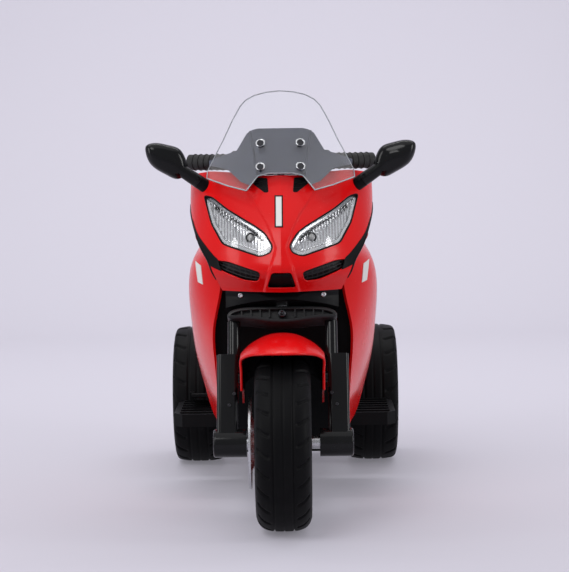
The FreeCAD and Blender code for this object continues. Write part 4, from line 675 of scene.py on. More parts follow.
def make_materials():
    """One material for each of the record's slots, and a few more finishes for pieces that differ from it."""
    c = colours()
    gloss = {"Coat_Weight": 0.14, "Coat_Roughness": 0.10, "Specular_IOR_Level": 0.16}
    return {
        "red_panel": moulding("Red panel", c.panel, 0.24, 260.0, 0.00001, 0.05, 0.18, **gloss),
        "rim_red": moulding("Red rim", c.rim, 0.32, 500.0, 0.00002, 0.08, 0.3, dust=0.35, top=0.30),
        "black_plastic": moulding("Black plastic", c.plastic, 0.34, 1100.0, 0.00003, 0.2, 0.3, dust=0.01,
                                  top=0.30, Specular_IOR_Level=0.08),
        "cowl_grey": moulding("Cowl grey", c.cowl, 0.36, 700.0, 0.000006),
        "bar_black": moulding("Bar coating", (0.012, 0.012, 0.013), 0.28, 1500.0, 0.00003, Coat_Weight=0.3),
        "grip_rubber": moulding("Grip rubber", c.rubber, 0.62, 1400.0, 0.00008),
        "tyre": moulding("Tyre rubber", c.rubber, 0.50, 1000.0, 0.00004, 0.25, 0.3, dust=0.012, top=0.20,
                         Specular_IOR_Level=0.08),
        "coupler_nylon": moulding("Coupler nylon", (0.50, 0.49, 0.45), 0.45),
        "battery_grey": moulding("Battery case", (0.08, 0.085, 0.09), 0.5),
        "button_red": moulding("Red button", (0.55, 0.012, 0.012), 0.3, Coat_Weight=0.3),
        "button_grey": moulding("Grey button", (0.16, 0.165, 0.17), 0.35),
        "dial_white": moulding("Dial face", (0.72, 0.72, 0.70), 0.4),
        "tail_red": moulding("Tail lens", (0.45, 0.006, 0.008), 0.12, 300.0, 0.00001, Coat_Weight=0.7,
                             Transmission_Weight=0.35),
        "seat_vinyl": moulding("Saddle vinyl", c.vinyl, 0.42, 420.0, 0.00012, 0.2, 0.35),
        "steel": brushed_metal("Bright steel", c.steel, 0.24),
        "lamp_chrome": brushed_metal("Lamp chrome", (0.56, 0.57, 0.58), 0.22, (60.0, 60.0, 60.0), 0.1),
        "mirror_silver": brushed_metal("Mirror silver", (0.88, 0.89, 0.90), 0.03, (4.0, 4.0, 4.0), 0.1),
        "clear_screen": clear_plastic("Clear screen", (0.96, 0.97, 0.98), 0.015),
        "lamp_lens": clear_plastic("Lamp lens", (0.98, 0.98, 0.99), 0.01, 0.08),
        # Pale opaque finish for the windscreen's edge: a painted highlight along the clear screen's edge
        "screen_edge_highlight": moulding("Painted edge highlight", (0.40, 0.42, 0.46), 0.2, 300.0, 0.00001, Coat_Weight=0.5),
        "screw_dark": brushed_metal("Dark screws", (0.045, 0.045, 0.05), 0.30),
        "fork_gloss": moulding("Fork moulding", c.plastic, 0.13, 900.0, 0.00001, 0.2, 0.2, dust=0.01,
                               top=0.30, Specular_IOR_Level=0.22),
        "yoke_grey": moulding("Yoke moulding", (0.013, 0.0135, 0.015), 0.40, 900.0, 0.00003,
                              Specular_IOR_Level=0.3),
        "thread": moulding("Saddle thread", (0.36, 0.020, 0.022), 0.6),
    }


class RideOnOperator:
    """What the ride-on operators share."""

    bl_options = {"REGISTER", "UNDO"}


OTHER_FINISHES = {"windscreen_screws": "screw_dark", "fork_leg_left": "fork_gloss",
                  "fork_leg_right": "fork_gloss", "mirror_housing_left": "fork_gloss",
                  "mirror_housing_right": "fork_gloss"}


class RIDEON_OT_finishes(RideOnOperator, bpy.types.Operator):
    """Gives every carried-over solid its material and smooth shading"""

    bl_idname = "rideon.finishes"
    bl_label = "Finishes"

    def execute(self, context):
        MATERIALS.update(make_materials())
        for name, node in NODES.items():
            node.data.materials.clear()
            node.data.materials.append(MATERIALS[OTHER_FINISHES.get(name, SLOT_OF[name])])
            smooth_node(node)
        return {"FINISHED"}


class RIDEON_OT_nose_mask(RideOnOperator, bpy.types.Operator):
    """Nose mask with its raised beak, opening beads, air vents, intakes, side inlays and white bar"""

    bl_idname = "rideon.nose_mask"
    bl_label = "Nose mask"

    def execute(self, context):
        beak = context.scene.ride_on_sizes.beak_rise
        outlines = [mask_outline(CHIN_CORNERS, 1.0, 0.006, 80)]
        for sign in SIDES.values():
            outlines += [lamp_rim(sign), intake_rim(sign)]
        self.make_skin(beak, outlines)
        bead_depth, bead_radius = 0.0011, 0.0013
        beads = [tube_piece("bead", on_mask(outline, bead_depth, beak), bead_radius, 8, True)
                 for outline in outlines]
        fit(joined("mask_opening_beads", beads), "chassis", "red_panel")
        self.make_vents(beak)
        self.make_intakes()
        self.make_inlays()
        self.make_bar(beak)
        return {"FINISHED"}

    def make_skin(self, beak, outlines):
        """Width share u and height share v: x is u times the half width at the height, z runs from the lower
        edge to the upper edge, y is the skin. The openings are cut through it."""
        u, v = np.linspace(-1.0, 1.0, 241)[:, None], np.linspace(0.0, 1.0, 141)[None, :]
        share = v * along_line(MASK_TOP, np.abs(u))
        x = u * along_line(MASK_SIDE, share) * MASK_HALF
        flat = np.stack([x, MASK_BOTTOM + share * MASK_HEIGHT], axis=-1)
        mask = grid_piece("nose_mask_skin", on_mask(flat, 0.0, beak))
        add_modifier(mask, "SOLIDIFY", thickness=MASK_WALL, offset=-1.0)
        near, far = AXLE.y - 0.1, AXLE.y + 0.5
        cut_away(mask, [prism(f"opening_{k}", outline, near, far) for k, outline in enumerate(outlines)])
        split_edges(mask, 35.0)
        fit(mask, "chassis", "red_panel", "nose_mask")

    def make_vents(self, beak):
        """Black wedges beside the middle, under the windscreen's arch: from a wedge's rim in the skin to its
        middle, slightly proud of it, with fins across."""
        border, rim_depth, proud, fin_height, fin_pitch = 0.08, 0.0002, 0.0014, 0.0008, 0.0045
        vents = []
        for sign in SIDES.values():
            rim = mask_outline(VENT_CORNERS, sign, 0.003, 72)
            t = np.linspace(0.0, 1.0, 15)[None, :]
            flat = rim[:, None] * (1 - t[..., None]) + rim.mean(axis=0) * t[..., None]
            fins = fin_height * np.sin(flat[..., 1] * math.tau / fin_pitch) * np.minimum(1.0, 4 * t)
            depth = np.where(t < border, rim_depth, fins - proud)
            vents.append(turn_outwards(grid_piece("vent", on_mask(flat, depth, beak), True)))
        fit(joined("mask_air_vents", vents), "chassis", "black_plastic")

    def make_intakes(self):
        """Each intake: a dark box from behind the opening's rim to a flat back, with slats along it and ribs
        across. A slat lies at a share of the way from the opening's lower edge to its upper edge."""
        rim_depth, slat_depth, rib_depth, back_depth = 0.0037, 0.0072, 0.0078, 0.0130
        slat_radius, rib_radius, overlap = 0.0010, 0.0009, 0.003
        station, at = np.linspace(0.0, 1.0, len(INTAKE_LOWER)), np.linspace(0.0, 1.0, 60)
        lower, upper = (np.stack([smooth_curve(station, k, at) for k in zip(*edge)], axis=1)
                        for edge in (INTAKE_LOWER, INTAKE_UPPER))
        for side, sign in SIDES.items():
            rim = intake_rim(sign)
            middle, outer = rim.mean(axis=0), inset_outline(rim, -overlap)
            rings = [on_mask(outer, rim_depth), on_mask(outer, back_depth)]
            rings += [on_mask(middle + (rim - middle) * share, back_depth) for share in (0.8, 0.5, 0.0)]
            pieces = [turn_outwards(grid_piece("box", np.stack(rings), False, True))]
            low = mask_place(lower, sign)
            up = mask_place(upper, sign) - low
            pieces += [tube_piece("slat", on_mask(low + up * share, slat_depth), slat_radius, 6)
                       for share in (0.25, 0.5, 0.75)]
            pieces += [tube_piece("rib", on_mask(low[k] + up[k] * at[:, None], rib_depth), rib_radius, 6)
                       for k in range(5, 58, 6)]
            fit(joined(f"intake_mesh_{side}", pieces), "chassis", "black_plastic", f"intake_grille_{side}",
                finish="yoke_grey")

    def make_inlays(self):
        """Black inlays from the intakes' outer ends up the mask's sides: at each height a strip from an inner
        line to the mask's edge, or low down to a slanted line, laid on the skin."""
        lift, wall, slant_start, slant = 0.0004, 0.0008, 0.632, 3.4
        bottom, top = INLAY_INNER[0][0], INLAY_INNER[-1][0]
        share, u = np.linspace(bottom, top, 70)[:, None], np.linspace(0.0, 1.0, 11)[None, :]
        start = along_line(INLAY_INNER, share)
        end = np.minimum(along_line(MASK_SIDE, share), slant_start + (share - bottom) * slant)
        strip = np.stack(np.broadcast_arrays(start + (end - start) * u, share), axis=-1)
        for side, sign in SIDES.items():
            panel = grid_piece(f"mask_side_panel_{side}", on_mask(mask_place(strip, sign), -lift))
            add_modifier(panel, "SOLIDIFY", thickness=wall, offset=0.0)
            fit(turn_outwards(bake_modifiers(panel)), "chassis", "black_plastic")

    def make_bar(self, beak):
        """An upright white bar with a black border on the beak: thin plates that follow the skin."""
        middle, half, bottom, top = -0.0035, 0.0050, 0.517, 0.566
        for name, slot, grow, lift in (("bar_border", "black_plastic", 0.0022, 0.0003),
                                       ("bar_white", "dial_white", 0.0, 0.0006)):
            across = middle + np.linspace(-1.0, 1.0, 9) * (half + grow)
            height = np.linspace(bottom - grow, top + grow, 25)
            flat = np.stack(np.meshgrid(across, height, indexing="ij"), axis=-1)
            plate = grid_piece(name, on_mask(flat, -lift, beak))
            add_modifier(plate, "SOLIDIFY", thickness=0.0004, offset=-1.0)
            fit(plate, "chassis", slot)


class RIDEON_OT_headlamps(RideOnOperator, bpy.types.Operator):
    """Headlamps: gasket, bright border, fluted reflector, bulb and the marks along the upper edge"""

    bl_idname = "rideon.headlamps"
    bl_label = "Headlamps"

    def execute(self, context):
        gasket_inset, gasket_depth, gasket_radius = 0.0004, 0.0012, 0.0017
        for side, sign in SIDES.items():
            rim = lamp_rim(sign)
            path = on_mask(inset_outline(rim, gasket_inset), gasket_depth)
            fit(tube_piece(f"lamp_gasket_{side}", path, gasket_radius, 8, True), "chassis", "black_plastic")
            self.make_reflector(side, rim)
            self.make_bulb(side, sign)
            self.make_marks(side, rim)
        return {"FINISHED"}

    def make_reflector(self, side, rim):
        """Rings drawn in from the rim: down a return wall, along a bright border, over a lip and into a bowl
        whose depth follows upright flutes."""
        steps = [(0.0006, 0.0030), (0.0010, 0.0070), (0.0014, 0.0082), (0.0060, 0.0088), (0.0066, 0.0094),
                 (0.0072, 0.0150)]
        lip_inset, lip_depth = steps[-1]
        bowl_depth, flute_depth, flute_pitch, wall = 0.0070, 0.0016, 0.0052, 0.0008
        rings = np.stack([on_mask(inset_outline(rim, inset), depth) for inset, depth in steps])
        t = np.linspace(0.0, 1.0, 40)[1:, None]
        flat = inset_outline(rim, lip_inset)[None] * (1 - t[..., None]) + rim.mean(axis=0) * t[..., None]
        fade = np.minimum(1.0, 24 * (1 - t) * t)
        flutes = flute_depth * np.abs(np.sin(flat[..., 0] * math.pi / flute_pitch)) * fade
        bowl = on_mask(flat, lip_depth + bowl_depth * np.sin(t * math.pi / 2) - flutes)
        reflector = grid_piece(f"lamp_reflector_{side}", np.concatenate([rings, bowl]), False, True)
        turn_outwards(reflector)
        add_modifier(reflector, "SOLIDIFY", thickness=wall, offset=0.0)
        fit(reflector, "chassis", "lamp_chrome", f"headlamp_reflector_{side}")

    def make_bulb(self, side, sign):
        """A turned bulb on a dark collar that faces forward out of the bowl."""
        x, z, depth, radius, ahead = sign * 0.052, 0.496, 0.0205, 0.0058, (0.0, -1.0, 0.0)
        origin = (x, mask_y(x, z) + depth, z)
        cup = [(0.0, 0.0), (0.0085, 0.0), (0.0085, 0.004), (0.0070, 0.005), (0.0066, 0.003), (0.0, 0.003)]
        fit(turned_piece(f"lamp_collar_{side}", cup, origin, ahead), "chassis", "black_plastic")
        angle = np.linspace(0.0, math.pi / 2, 9)
        dome = np.stack([radius * np.cos(angle), 0.004 + 0.0065 * np.sin(angle)], axis=1)
        profile = [(0.0, 0.003), (radius, 0.003)] + dome.tolist()
        bulb = turned_piece(f"lamp_bulb_{side}", profile, origin, ahead)
        fit(bulb, "chassis", "lamp_lens", finish="dial_white")

    def make_marks(self, side, rim):
        """Short dark bars square to the rim along its upper edge, at even steps."""
        lowest, highest, depth, half_width, half_height = 0.500, 0.556, 0.0125, 0.0006, 0.0025
        z, outward = rim[:, 1], rim - inset_outline(rim, 0.001)
        upper = (z > lowest) & (z < highest) & (outward[:, 1] > 0.0005)
        along = np.flatnonzero(upper)[::4]
        start, end = (on_mask(inset_outline(rim, inset)[along], depth) for inset in (0.0102, 0.0142))
        across = half_width * unit(np.cross(end - start, (0.0, 1.0, 0.0)))
        marks = bars_piece(f"lamp_marks_{side}", start, end, across, (0.0, half_height, 0.0))
        fit(marks, "chassis", "black_plastic")


FRONT_SECTION = [(0.80, 0.0), (0.97, 0.16), (1.0, 0.42), (0.95, 0.68), (0.80, 0.86), (0.58, 0.955),
                 (0.30, 0.992), (0.0, 1.0)]
REAR_SECTION = [(0.80, 0.0), (0.97, 0.16), (1.0, 0.42), (0.985, 0.74), (0.90, 0.89), (0.62, 0.965),
                (0.30, 0.992), (0.0, 1.0)]


class RIDEON_OT_tyres(RideOnOperator, bpy.types.Operator):
    """Tyres with moulded tread, one for each wheel"""

    bl_idname = "rideon.tyres"
    bl_label = "Tyres"

    def execute(self, context):
        depth = context.scene.ride_on_sizes.tread_depth
        self.make_tyre("front_tyre", "front_wheel", FRONT_SECTION, rim=0.098, depth=depth, slots=26)
        for side in SIDES:
            self.make_tyre(f"rear_tyre_{side}", f"rear_wheel_{side}", REAR_SECTION, rim=0.088, depth=depth,
                           slots=22)
        return {"FINISHED"}

    def make_tyre(self, name, body, shares, rim, depth, slots):
        """A half section mirrored and turned about the axle. Along its normals the tread is cut by two
        grooves round the tyre, a line at its middle and bent slots across its shoulders, and the walls carry
        two raised rings."""
        low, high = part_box(name)
        middle, radius, half = (low + high) / 2, (high.z - low.z) / 2, (high.x - low.x) / 2
        shares, size = np.array(shares), (half, radius - rim)
        station = path_length(shares * size)
        at = np.linspace(0.0, station[-1], 49)
        side = np.stack([smooth_curve(station, shares[:, k], at) for k in (0, 1)], axis=1)
        section = np.concatenate([side, side[-2::-1] * (-1, 1)]) * size + (0.0, rim)
        slope = np.gradient(section, axis=0)
        normal = unit(np.stack([slope[:, 1], -slope[:, 0]], axis=1))
        normal *= np.sign(normal[len(normal) // 2, 1])
        turn = np.linspace(0.0, math.tau, 720, endpoint=False)[:, None]
        u = np.abs(section[:, 0] / half)[None, :]
        height = ((section[:, 1] - rim) / (radius - rim))[None, :]
        tread = np.clip((height - 0.72) / 0.06, 0.0, 1.0)
        grooves = np.exp(-((u - 0.355) / 0.030)**4) + 0.5 * np.exp(-(u / 0.016)**4)
        bend = 0.55 * np.abs(u - 0.50)**1.5
        phase = (turn / math.tau * slots + bend * slots / 10 + 0.5 * (section[None, :, 0] < 0)) % 1.0
        shoulder = np.exp(-((phase - 0.5) / 0.085)**4) * np.clip((u - 0.46) / 0.05, 0.0, 1.0)
        cut = depth * np.maximum(grooves, 0.85 * shoulder) * tread
        rings = np.exp(-((height - 0.22) / 0.025)**2) + np.exp(-((height - 0.56) / 0.02)**2)
        raised = 0.0009 * rings * (u > 0.8)
        flat = section[None] + (raised - cut)[..., None] * normal[None]
        points = xyz(middle.x + flat[..., 0], middle.y + flat[..., 1] * np.cos(turn),
                     middle.z + flat[..., 1] * np.sin(turn))
        tyre = turn_outwards(grid_piece(f"{name}_treaded", points, True, True))
        fit(tyre, body, "tyre", name)


class RIDEON_OT_windscreen(RideOnOperator, bpy.types.Operator):
    """The windscreen's edge, a pale tube that paints the highlight along it, and the washers under its screws
    """

    bl_idname = "rideon.windscreen"
    bl_label = "Windscreen trim"

    def execute(self, context):
        edge_inset, edge_radius = 0.0013, 0.0011
        corners = SCREEN_CORNERS + [(-a, b) for a, b in SCREEN_CORNERS[:0:-1]]
        outline = np.asarray(corners) * (SCREEN_HALF, SCREEN_HEIGHT) + (0.0, SCREEN_BOTTOM)
        x, z = inset_outline(spread_outline(outline, 260), edge_inset).T
        path = xyz(x, screen_y(x, z) + SCREEN_WALL / 2, z)
        edge = tube_piece("windscreen_edge", path, edge_radius, 8, True)
        # The edge tube is pale and opaque: a painted highlight along the clear screen's edge.
        fit(edge, "chassis", "clear_screen", finish="screen_edge_highlight")
        washers = [self.make_washer(sign * a * SCREEN_HALF, SCREEN_BOTTOM + b * SCREEN_HEIGHT)
                   for a, b in SCREW_PLACES for sign in SIDES.values()]
        fit(joined("windscreen_washers", washers), "chassis", "steel")
        return {"FINISHED"}

    def make_washer(self, x, z):
        """A washer turned about the screen's normal, which follows from its slopes upwards and across."""
        step = 0.001
        lean = (screen_y(x, z + step) - screen_y(x, z - step)) / (2 * step)
        bow = (screen_y(x + step, z) - screen_y(x - step, z)) / (2 * step)
        profile = [(0.0050, 0.0), (0.0085, 0.0), (0.0085, 0.0008), (0.0078, 0.0013), (0.0058, 0.0013),
                   (0.0050, 0.0)]
        return turned_piece("washer", profile, (x, screen_y(x, z), z), (bow, -1.0, lean), 40)


PIPING_LINE = [(0.0, 0.361), (0.08, 0.372), (0.30, 0.384), (0.60, 0.385), (0.85, 0.402), (1.0, 0.404)]


class RIDEON_OT_seat(RideOnOperator, bpy.types.Operator):
    """Seat cushion swollen by pressure, with sewn channels, stitches, piping and a corded hem"""

    bl_idname = "rideon.seat"
    bl_label = "Seat"

    def execute(self, context):
        channel_depth, channel_width = 0.0045, 0.0045
        hem = self.hem_path()
        cushion = self.make_cushion(context, hem)
        low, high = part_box("seat_pad")
        channels = [low.y + share * (high.y - low.y) for share in (0.30, 0.52, 0.74)]
        points, normals = mesh_arrays(cushion)
        upward = np.clip(2 * normals[:, 2], 0.0, 1.0)
        for y in channels:
            sink = channel_depth * np.exp(-((points[:, 1] - y) / channel_width)**2) * upward
            points = points - sink[:, None] * normals
        move_points(cushion, points)
        fit(cushion, "chassis", "seat_vinyl", "seat_pad")
        self.make_stitches(points, channels)
        self.make_piping(points)
        self.make_hem(hem)
        return {"FINISHED"}

    def hem_path(self):
        """The line where the seat meets the body: the seat solid's sharp outer edge, evened out round its
        middle and drawn in slightly."""
        edge = sharp_points(NODES["seat_pad"].data, 90.0)
        low, high = edge.min(axis=0), edge.max(axis=0)
        middle, reach = (low + high) / 2, (high - low) / 2
        share = (edge - middle) / reach
        outer = np.max(np.abs(share[:, :2]), axis=1) > 0.8
        angle = np.arctan2(share[outer, 1], share[outer, 0])
        order = np.argsort(angle)
        angle, edge = angle[order], edge[outer][order]
        turn = np.linspace(-math.pi, math.pi, 180, endpoint=False)
        path = np.stack([np.interp(turn, angle, edge[:, k], period=math.tau) for k in range(3)], axis=1)
        for _ in range(3):
            path = (np.roll(path, 1, axis=0) + path + np.roll(path, -1, axis=0)) / 3
        return path + (middle - path) * (0.012, 0.006, 0.0)

    def make_cushion(self, context, hem):
        """The seat's solid remeshed, drawn in away from its hem, swollen by cloth pressure and held where it
        lies on the body."""
        sizes = context.scene.ride_on_sizes
        cushion = add_object("seat_cushion", NODES["seat_pad"].data.copy())
        add_modifier(cushion, "WELD", merge_threshold=WELD_GAP)
        add_modifier(cushion, "REMESH", mode="VOXEL", voxel_size=0.004)
        bake_modifiers(cushion)
        solid, normals = mesh_arrays(cushion)
        gap = np.min(np.linalg.norm(solid[:, None] - hem[None], axis=-1), axis=1)
        start = solid - sizes.seat_draw * np.clip((gap - 0.005) / 0.015, 0.0, 1.0)[:, None] * normals
        move_points(cushion, start)
        cloth = add_modifier(cushion, "CLOTH")
        cloth.settings.use_pressure = True
        cloth.settings.uniform_pressure_force = 4.0
        cloth.settings.effector_weights.gravity = 0.0
        for number in range(1, 21):
            context.scene.frame_set(number)
        bake_modifiers(cushion)
        context.scene.frame_set(1)
        swell = mesh_arrays(cushion)[0] - start
        length = np.maximum(np.linalg.norm(swell, axis=1), 1e-9)[:, None]
        free = np.clip(1.4 * normals[:, 2] + 0.6, 0.0, 1.0)[:, None]
        move_points(cushion, start + swell * np.minimum(1.0, sizes.seat_swell / length) * free)
        shade(cushion.data)
        add_modifier(cushion, "SUBSURF", levels=1, render_levels=1)
        return bake_modifiers(cushion)

    def make_stitches(self, points, channels):
        """Thread on both sides of each channel: short bars between neighbouring points of a line on the
        cushion."""
        half, step, shift, lift, filled = 0.066, 0.0052, 0.0065, 0.0004, 0.62
        near = points[points[:, 2] > np.median(points[:, 2])]
        x = np.arange(-half, half, step)
        start, end = [], []
        for y in (channel + sign * shift for channel in channels for sign in (-1, 1)):
            flat = np.stack([x, np.full_like(x, y)], axis=1)
            gap = np.abs(near[None, :, :2] - flat[:, None]).sum(axis=-1)
            line = np.column_stack([flat, near[np.argmin(gap, axis=1), 2] + lift])
            start.append(line[:-1])
            end.append(line[:-1] + (line[1:] - line[:-1]) * filled)
        start, end = np.concatenate(start), np.concatenate(end)
        stitches = bars_piece("seat_stitches", start, end, (0.0, 0.0005, 0.0), (0.0, 0.0, 0.0006))
        fit(stitches, "chassis", "seat_vinyl", finish="thread")

    def make_piping(self, points):
        """A round cord sewn round the cushion: a ring with rounded corners at the side's height, laid on the
        cushion's nearest points."""
        low, high = points.min(axis=0), points.max(axis=0)
        middle, reach = (low + high) / 2, (high - low) / 2
        turn = np.linspace(0.0, math.tau, 140, endpoint=False)
        circle = np.stack([np.cos(turn), np.sin(turn)], axis=1)
        ring = np.sign(circle) * np.abs(circle)**0.4 * reach[:2] + middle[:2]
        level = along_line(PIPING_LINE, (ring[:, 1] - low[1]) / (high[1] - low[1]))
        ring = np.column_stack([ring, level])
        path = points[np.argmin(np.linalg.norm(points[None] - ring[:, None], axis=-1), axis=1)]
        path = (np.roll(path, 1, axis=0) + 2 * path + np.roll(path, -1, axis=0)) / 4
        fit(tube_piece("seat_piping", path, 0.0021, 8, True, (0.0, 0.0, 1.0)), "chassis", "seat_vinyl")

    def make_hem(self, hem):
        """Two cords round the cushion's foot: one on the hem, and one further in and higher up."""
        radius, lift, inner_lift = 0.0034, 0.0012, 0.0046
        middle = (hem.min(axis=0) + hem.max(axis=0)) / 2
        outer = hem + (0.0, 0.0, lift)
        inner = hem + (middle - hem) * (0.022, 0.011, 0.0) + (0.0, 0.0, inner_lift)
        cords = [tube_piece("cord", path, radius, 10, True, (0.0, 0.0, 1.0)) for path in (outer, inner)]
        fit(joined("seat_hem", cords), "chassis", "seat_vinyl")


YOKE_HALF = [(0.0, 0.0308), (0.050, 0.0305), (0.076, 0.0285), (0.091, 0.0225), (0.0958, 0.0145),
             (0.091, 0.0080), (0.070, 0.0085), (0.045, 0.0055), (0.022, 0.0015), (0.0, 0.0)]
YOKE_RIBS = np.array([-0.070, -0.054, -0.038, -0.022, 0.022, 0.038, 0.054, 0.070])
GUARD_ARCH = [(0.0, 0.0), (0.27, 0.05), (0.48, 0.19), (0.67, 0.39), (0.83, 0.62), (0.94, 0.84), (1.0, 1.0)]
BOLT_HEAD = np.array([(0.0, 0.30), (0.38, 0.30), (0.42, 0.62), (0.80, 0.55), (0.97, 0.25), (1.0, -0.3)])
SILL_SCREW = np.array([(0.0, 0.35), (0.4, 0.35), (0.45, 0.6), (0.8, 0.5), (1.0, 0.1), (1.0, -0.3)])
DISC_HOLES = [(0.0690, 24), (0.0605, 24), (0.0530, 12)]


class RIDEON_OT_front_trim(RideOnOperator, bpy.types.Operator):
    """Yoke, bolts, mudguard, brake disc, cowl ribs, side trim and painted highlights on the fairings"""

    bl_idname = "rideon.front_trim"
    bl_label = "Front trim"

    def execute(self, context):
        self.make_yoke()
        self.make_bolts()
        self.make_guard()
        self.make_disc()
        self.make_cowl_ribs()
        for side, sign in SIDES.items():
            self.make_side_trim(side, sign)
            self.make_side_painted_highlight(side, sign)
        return {"FINISHED"}

    def make_yoke(self):
        """An arched outline in the steering frame carried from back to front, with a rounded front edge and a
        pocketed face; upright ribs stand in the pocket."""
        back, pocket = 0.024, -0.0170
        corners = YOKE_HALF + [(-x, z) for x, z in YOKE_HALF[-2:0:-1]]
        outline = spread_outline(rounded_outline(corners, 0.012), 160)
        layers = [(0.0, back), (0.0, -0.0215), (0.0012, -0.0243), (0.0032, -0.0255), (0.0058, -0.0255),
                  (0.0066, -0.0245), (0.0072, pocket)]
        spine = np.stack([outline[:, 0] * 0.9, np.full(len(outline), 0.0165)], axis=1)
        rings = [(inset_outline(outline, inset), depth) for inset, depth in layers]
        rings = [(spine, back)] + rings + [(spine, pocket)]
        points = np.stack([in_fork(ring[:, 0], depth, ring[:, 1] + YOKE_BASE) for ring, depth in rings])
        yoke = turn_outwards(grid_piece("yoke_cover", points, False, True))
        split_edges(yoke, 40.0)
        fit(yoke, "steering", "black_plastic", "lower_yoke", finish="yoke_grey")
        foot, head = (in_fork(YOKE_RIBS, -0.0205, YOKE_BASE + up) for up in (0.010, 0.0265))
        ribs = bars_piece("yoke_ribs", foot, head, (0.0011, 0.0, 0.0), 0.004 * FORK_AHEAD)
        fit(ribs, "steering", "black_plastic", finish="yoke_grey")

    def make_bolts(self):
        """Round heads with a recess: the yoke's bolt, two on each leg, and two under the mask."""
        yoke_radius, leg_radius, mask_radius = 0.0075, 0.0032, 0.0046
        steering, chassis = [(in_fork(0.0, -0.0255, YOKE_BASE + 0.0165), yoke_radius)], []
        for sign in SIDES.values():
            for x, z in ((0.083, 0.0816), (0.0915, 0.0616)):
                steering.append((in_fork(sign * x, -0.0198, z), leg_radius))
            x = sign * 0.0715
            chassis.append(((x, mask_y(x, 0.391) + 0.0032, 0.3965), mask_radius))
        for body, places, axis, finish in (("steering", steering, FORK_AHEAD, "screw_dark"),
                                           ("chassis", chassis, (0.0, -1.0, 0.0), "steel")):
            heads = [turned_piece("head", BOLT_HEAD * radius, place, axis, 24) for place, radius in places]
            fit(joined(f"bolt_heads_{body}", heads), body, "steel", finish=finish)

    def make_guard(self):
        """An arched section with skirts turned about the axle, from its rear edge to a front edge that sweeps
        back towards the sides. A black lining lies inside it, and a round lip runs along its front edge."""
        half_width, crown, drop, wall = 0.071, 0.187, 0.035, 0.0035
        lining_depth, lining_wall, lip_depth, lip_radius = 0.0042, 0.0005, 0.0018, 0.0023
        rear, front_middle, front_sweep = math.radians(-53.8), 28.8, 16.0
        half = [(a * half_width, crown - b * drop) for a, b in GUARD_ARCH]
        half += [(half_width, 0.130), (half_width, 0.097)]
        section = np.asarray([(-x, r) for x, r in half[:0:-1]] + half)
        length = path_length(section)
        at = np.linspace(0.0, length[-1], 181)
        x, radius = (smooth_curve(length, section[:, k], at) for k in (0, 1))
        front = np.radians(front_middle - front_sweep * (np.abs(x) / half_width)**2.2)
        turn = rear + (front - rear)[:, None] * np.linspace(0.0, 1.0, 70)[None, :]
        body = BODY_OF["front_mudguard"]
        guard = grid_piece("mudguard_skin", about_axle(x[:, None], radius[:, None], turn))
        points, normals = mesh_arrays(guard)
        if normals[np.argmax(points[:, 2]), 2] < 0:
            guard.data.flip_normals()
        add_modifier(guard, "SOLIDIFY", thickness=wall, offset=-1.0)
        split_edges(guard, 45.0)
        fit(guard, body, "red_panel", "front_mudguard")
        lining = about_axle(0.94 * x[:, None], radius[:, None] - lining_depth, turn)[:, :-1]
        liner = grid_piece("mudguard_liner", lining)
        add_modifier(liner, "SOLIDIFY", thickness=lining_wall, offset=0.0)
        fit(liner, body, "black_plastic")
        path = about_axle(0.976 * x, radius - lip_depth, front)
        lip = tube_piece("mudguard_lip", path, lip_radius, 10, False, (1.0, 0.0, 0.0001))
        fit(lip, body, "red_panel")

    def make_disc(self):
        """A bell turned about the axle: a flange on the hub, a cone and a flat ring, with round holes through
        the ring."""
        rise, wall, hole_radius = 0.0065, 0.0037, 0.0026
        low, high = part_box("brake_disc")
        middle, radius = (low + high) / 2, (high.z - low.z) / 2
        profile = [(0.020, 0.0), (0.036, 0.0), (0.048, rise), (radius, rise), (radius, rise + wall),
                   (0.046, rise + wall), (0.034, wall), (0.020, wall)]
        origin = (high.x, middle.y, middle.z)
        disc = turned_piece("brake_disc_bell", profile, origin, (-1.0, 0.0, 0.0), 144, True)
        turn = np.linspace(0.0, math.tau, 20, endpoint=False)
        circle = hole_radius * np.stack([np.cos(turn), np.sin(turn)], axis=1)
        holes = []
        for ring, count in DISC_HOLES:
            for step in np.linspace(0.0, math.tau, count, endpoint=False) + ring * 20:
                place = (middle.y + ring * math.cos(step), middle.z + ring * math.sin(step))
                holes.append(prism("hole", place + circle, high.x - 0.02, high.x + 0.004))
        cutter = joined("holes", holes)
        move_points(cutter, mesh_arrays(cutter)[0][:, (1, 0, 2)])
        cut_away(disc, [turn_outwards(cutter)])
        split_edges(disc, 25.0)
        fit(disc, "front_wheel", "steel", "brake_disc")

    def make_cowl_ribs(self):
        """Two raised lines up the cowl: a round profile along its face, leaning outwards."""
        bottom, top, low_half, lean, depth = 0.16, 0.585, 0.041, 0.012, 0.0120
        share = np.linspace(bottom, top, 40)
        z = SCREEN_BOTTOM + share * SCREEN_HEIGHT
        ribs = []
        for sign in SIDES.values():
            x = sign * (low_half + lean * (share - bottom) / (top - bottom))
            path = xyz(x, screen_y(x, z) + SCREEN_WALL + depth, z)
            ribs.append(tube_piece("rib", path, 0.0022, 8, False, (1.0, 0.0, 0.0)))
        fit(joined("cowl_ribs", ribs), "chassis", "cowl_grey")

    def make_side_trim(self, side, sign):
        """A black cord in the gap beside the mask's lower edge, thickest at the intake."""
        edge = mask_place(SIDE_TRIM, sign, MASK_HALF + 0.0010)
        station, t = np.linspace(0.0, 1.0, len(edge)), np.linspace(0.0, 1.0, 70)
        flat = np.stack([smooth_curve(station, edge[:, k], t) for k in (0, 1)], axis=1)
        radius = along_line([(0.0, 0.0008), (0.25, 0.0019), (0.55, 0.0028), (0.75, 0.0024), (1.0, 0.0010)], t)
        cord = tube_piece(f"side_trim_{side}", on_mask(flat, 0.0022), radius, 10)
        fit(cord, "chassis", "black_plastic")

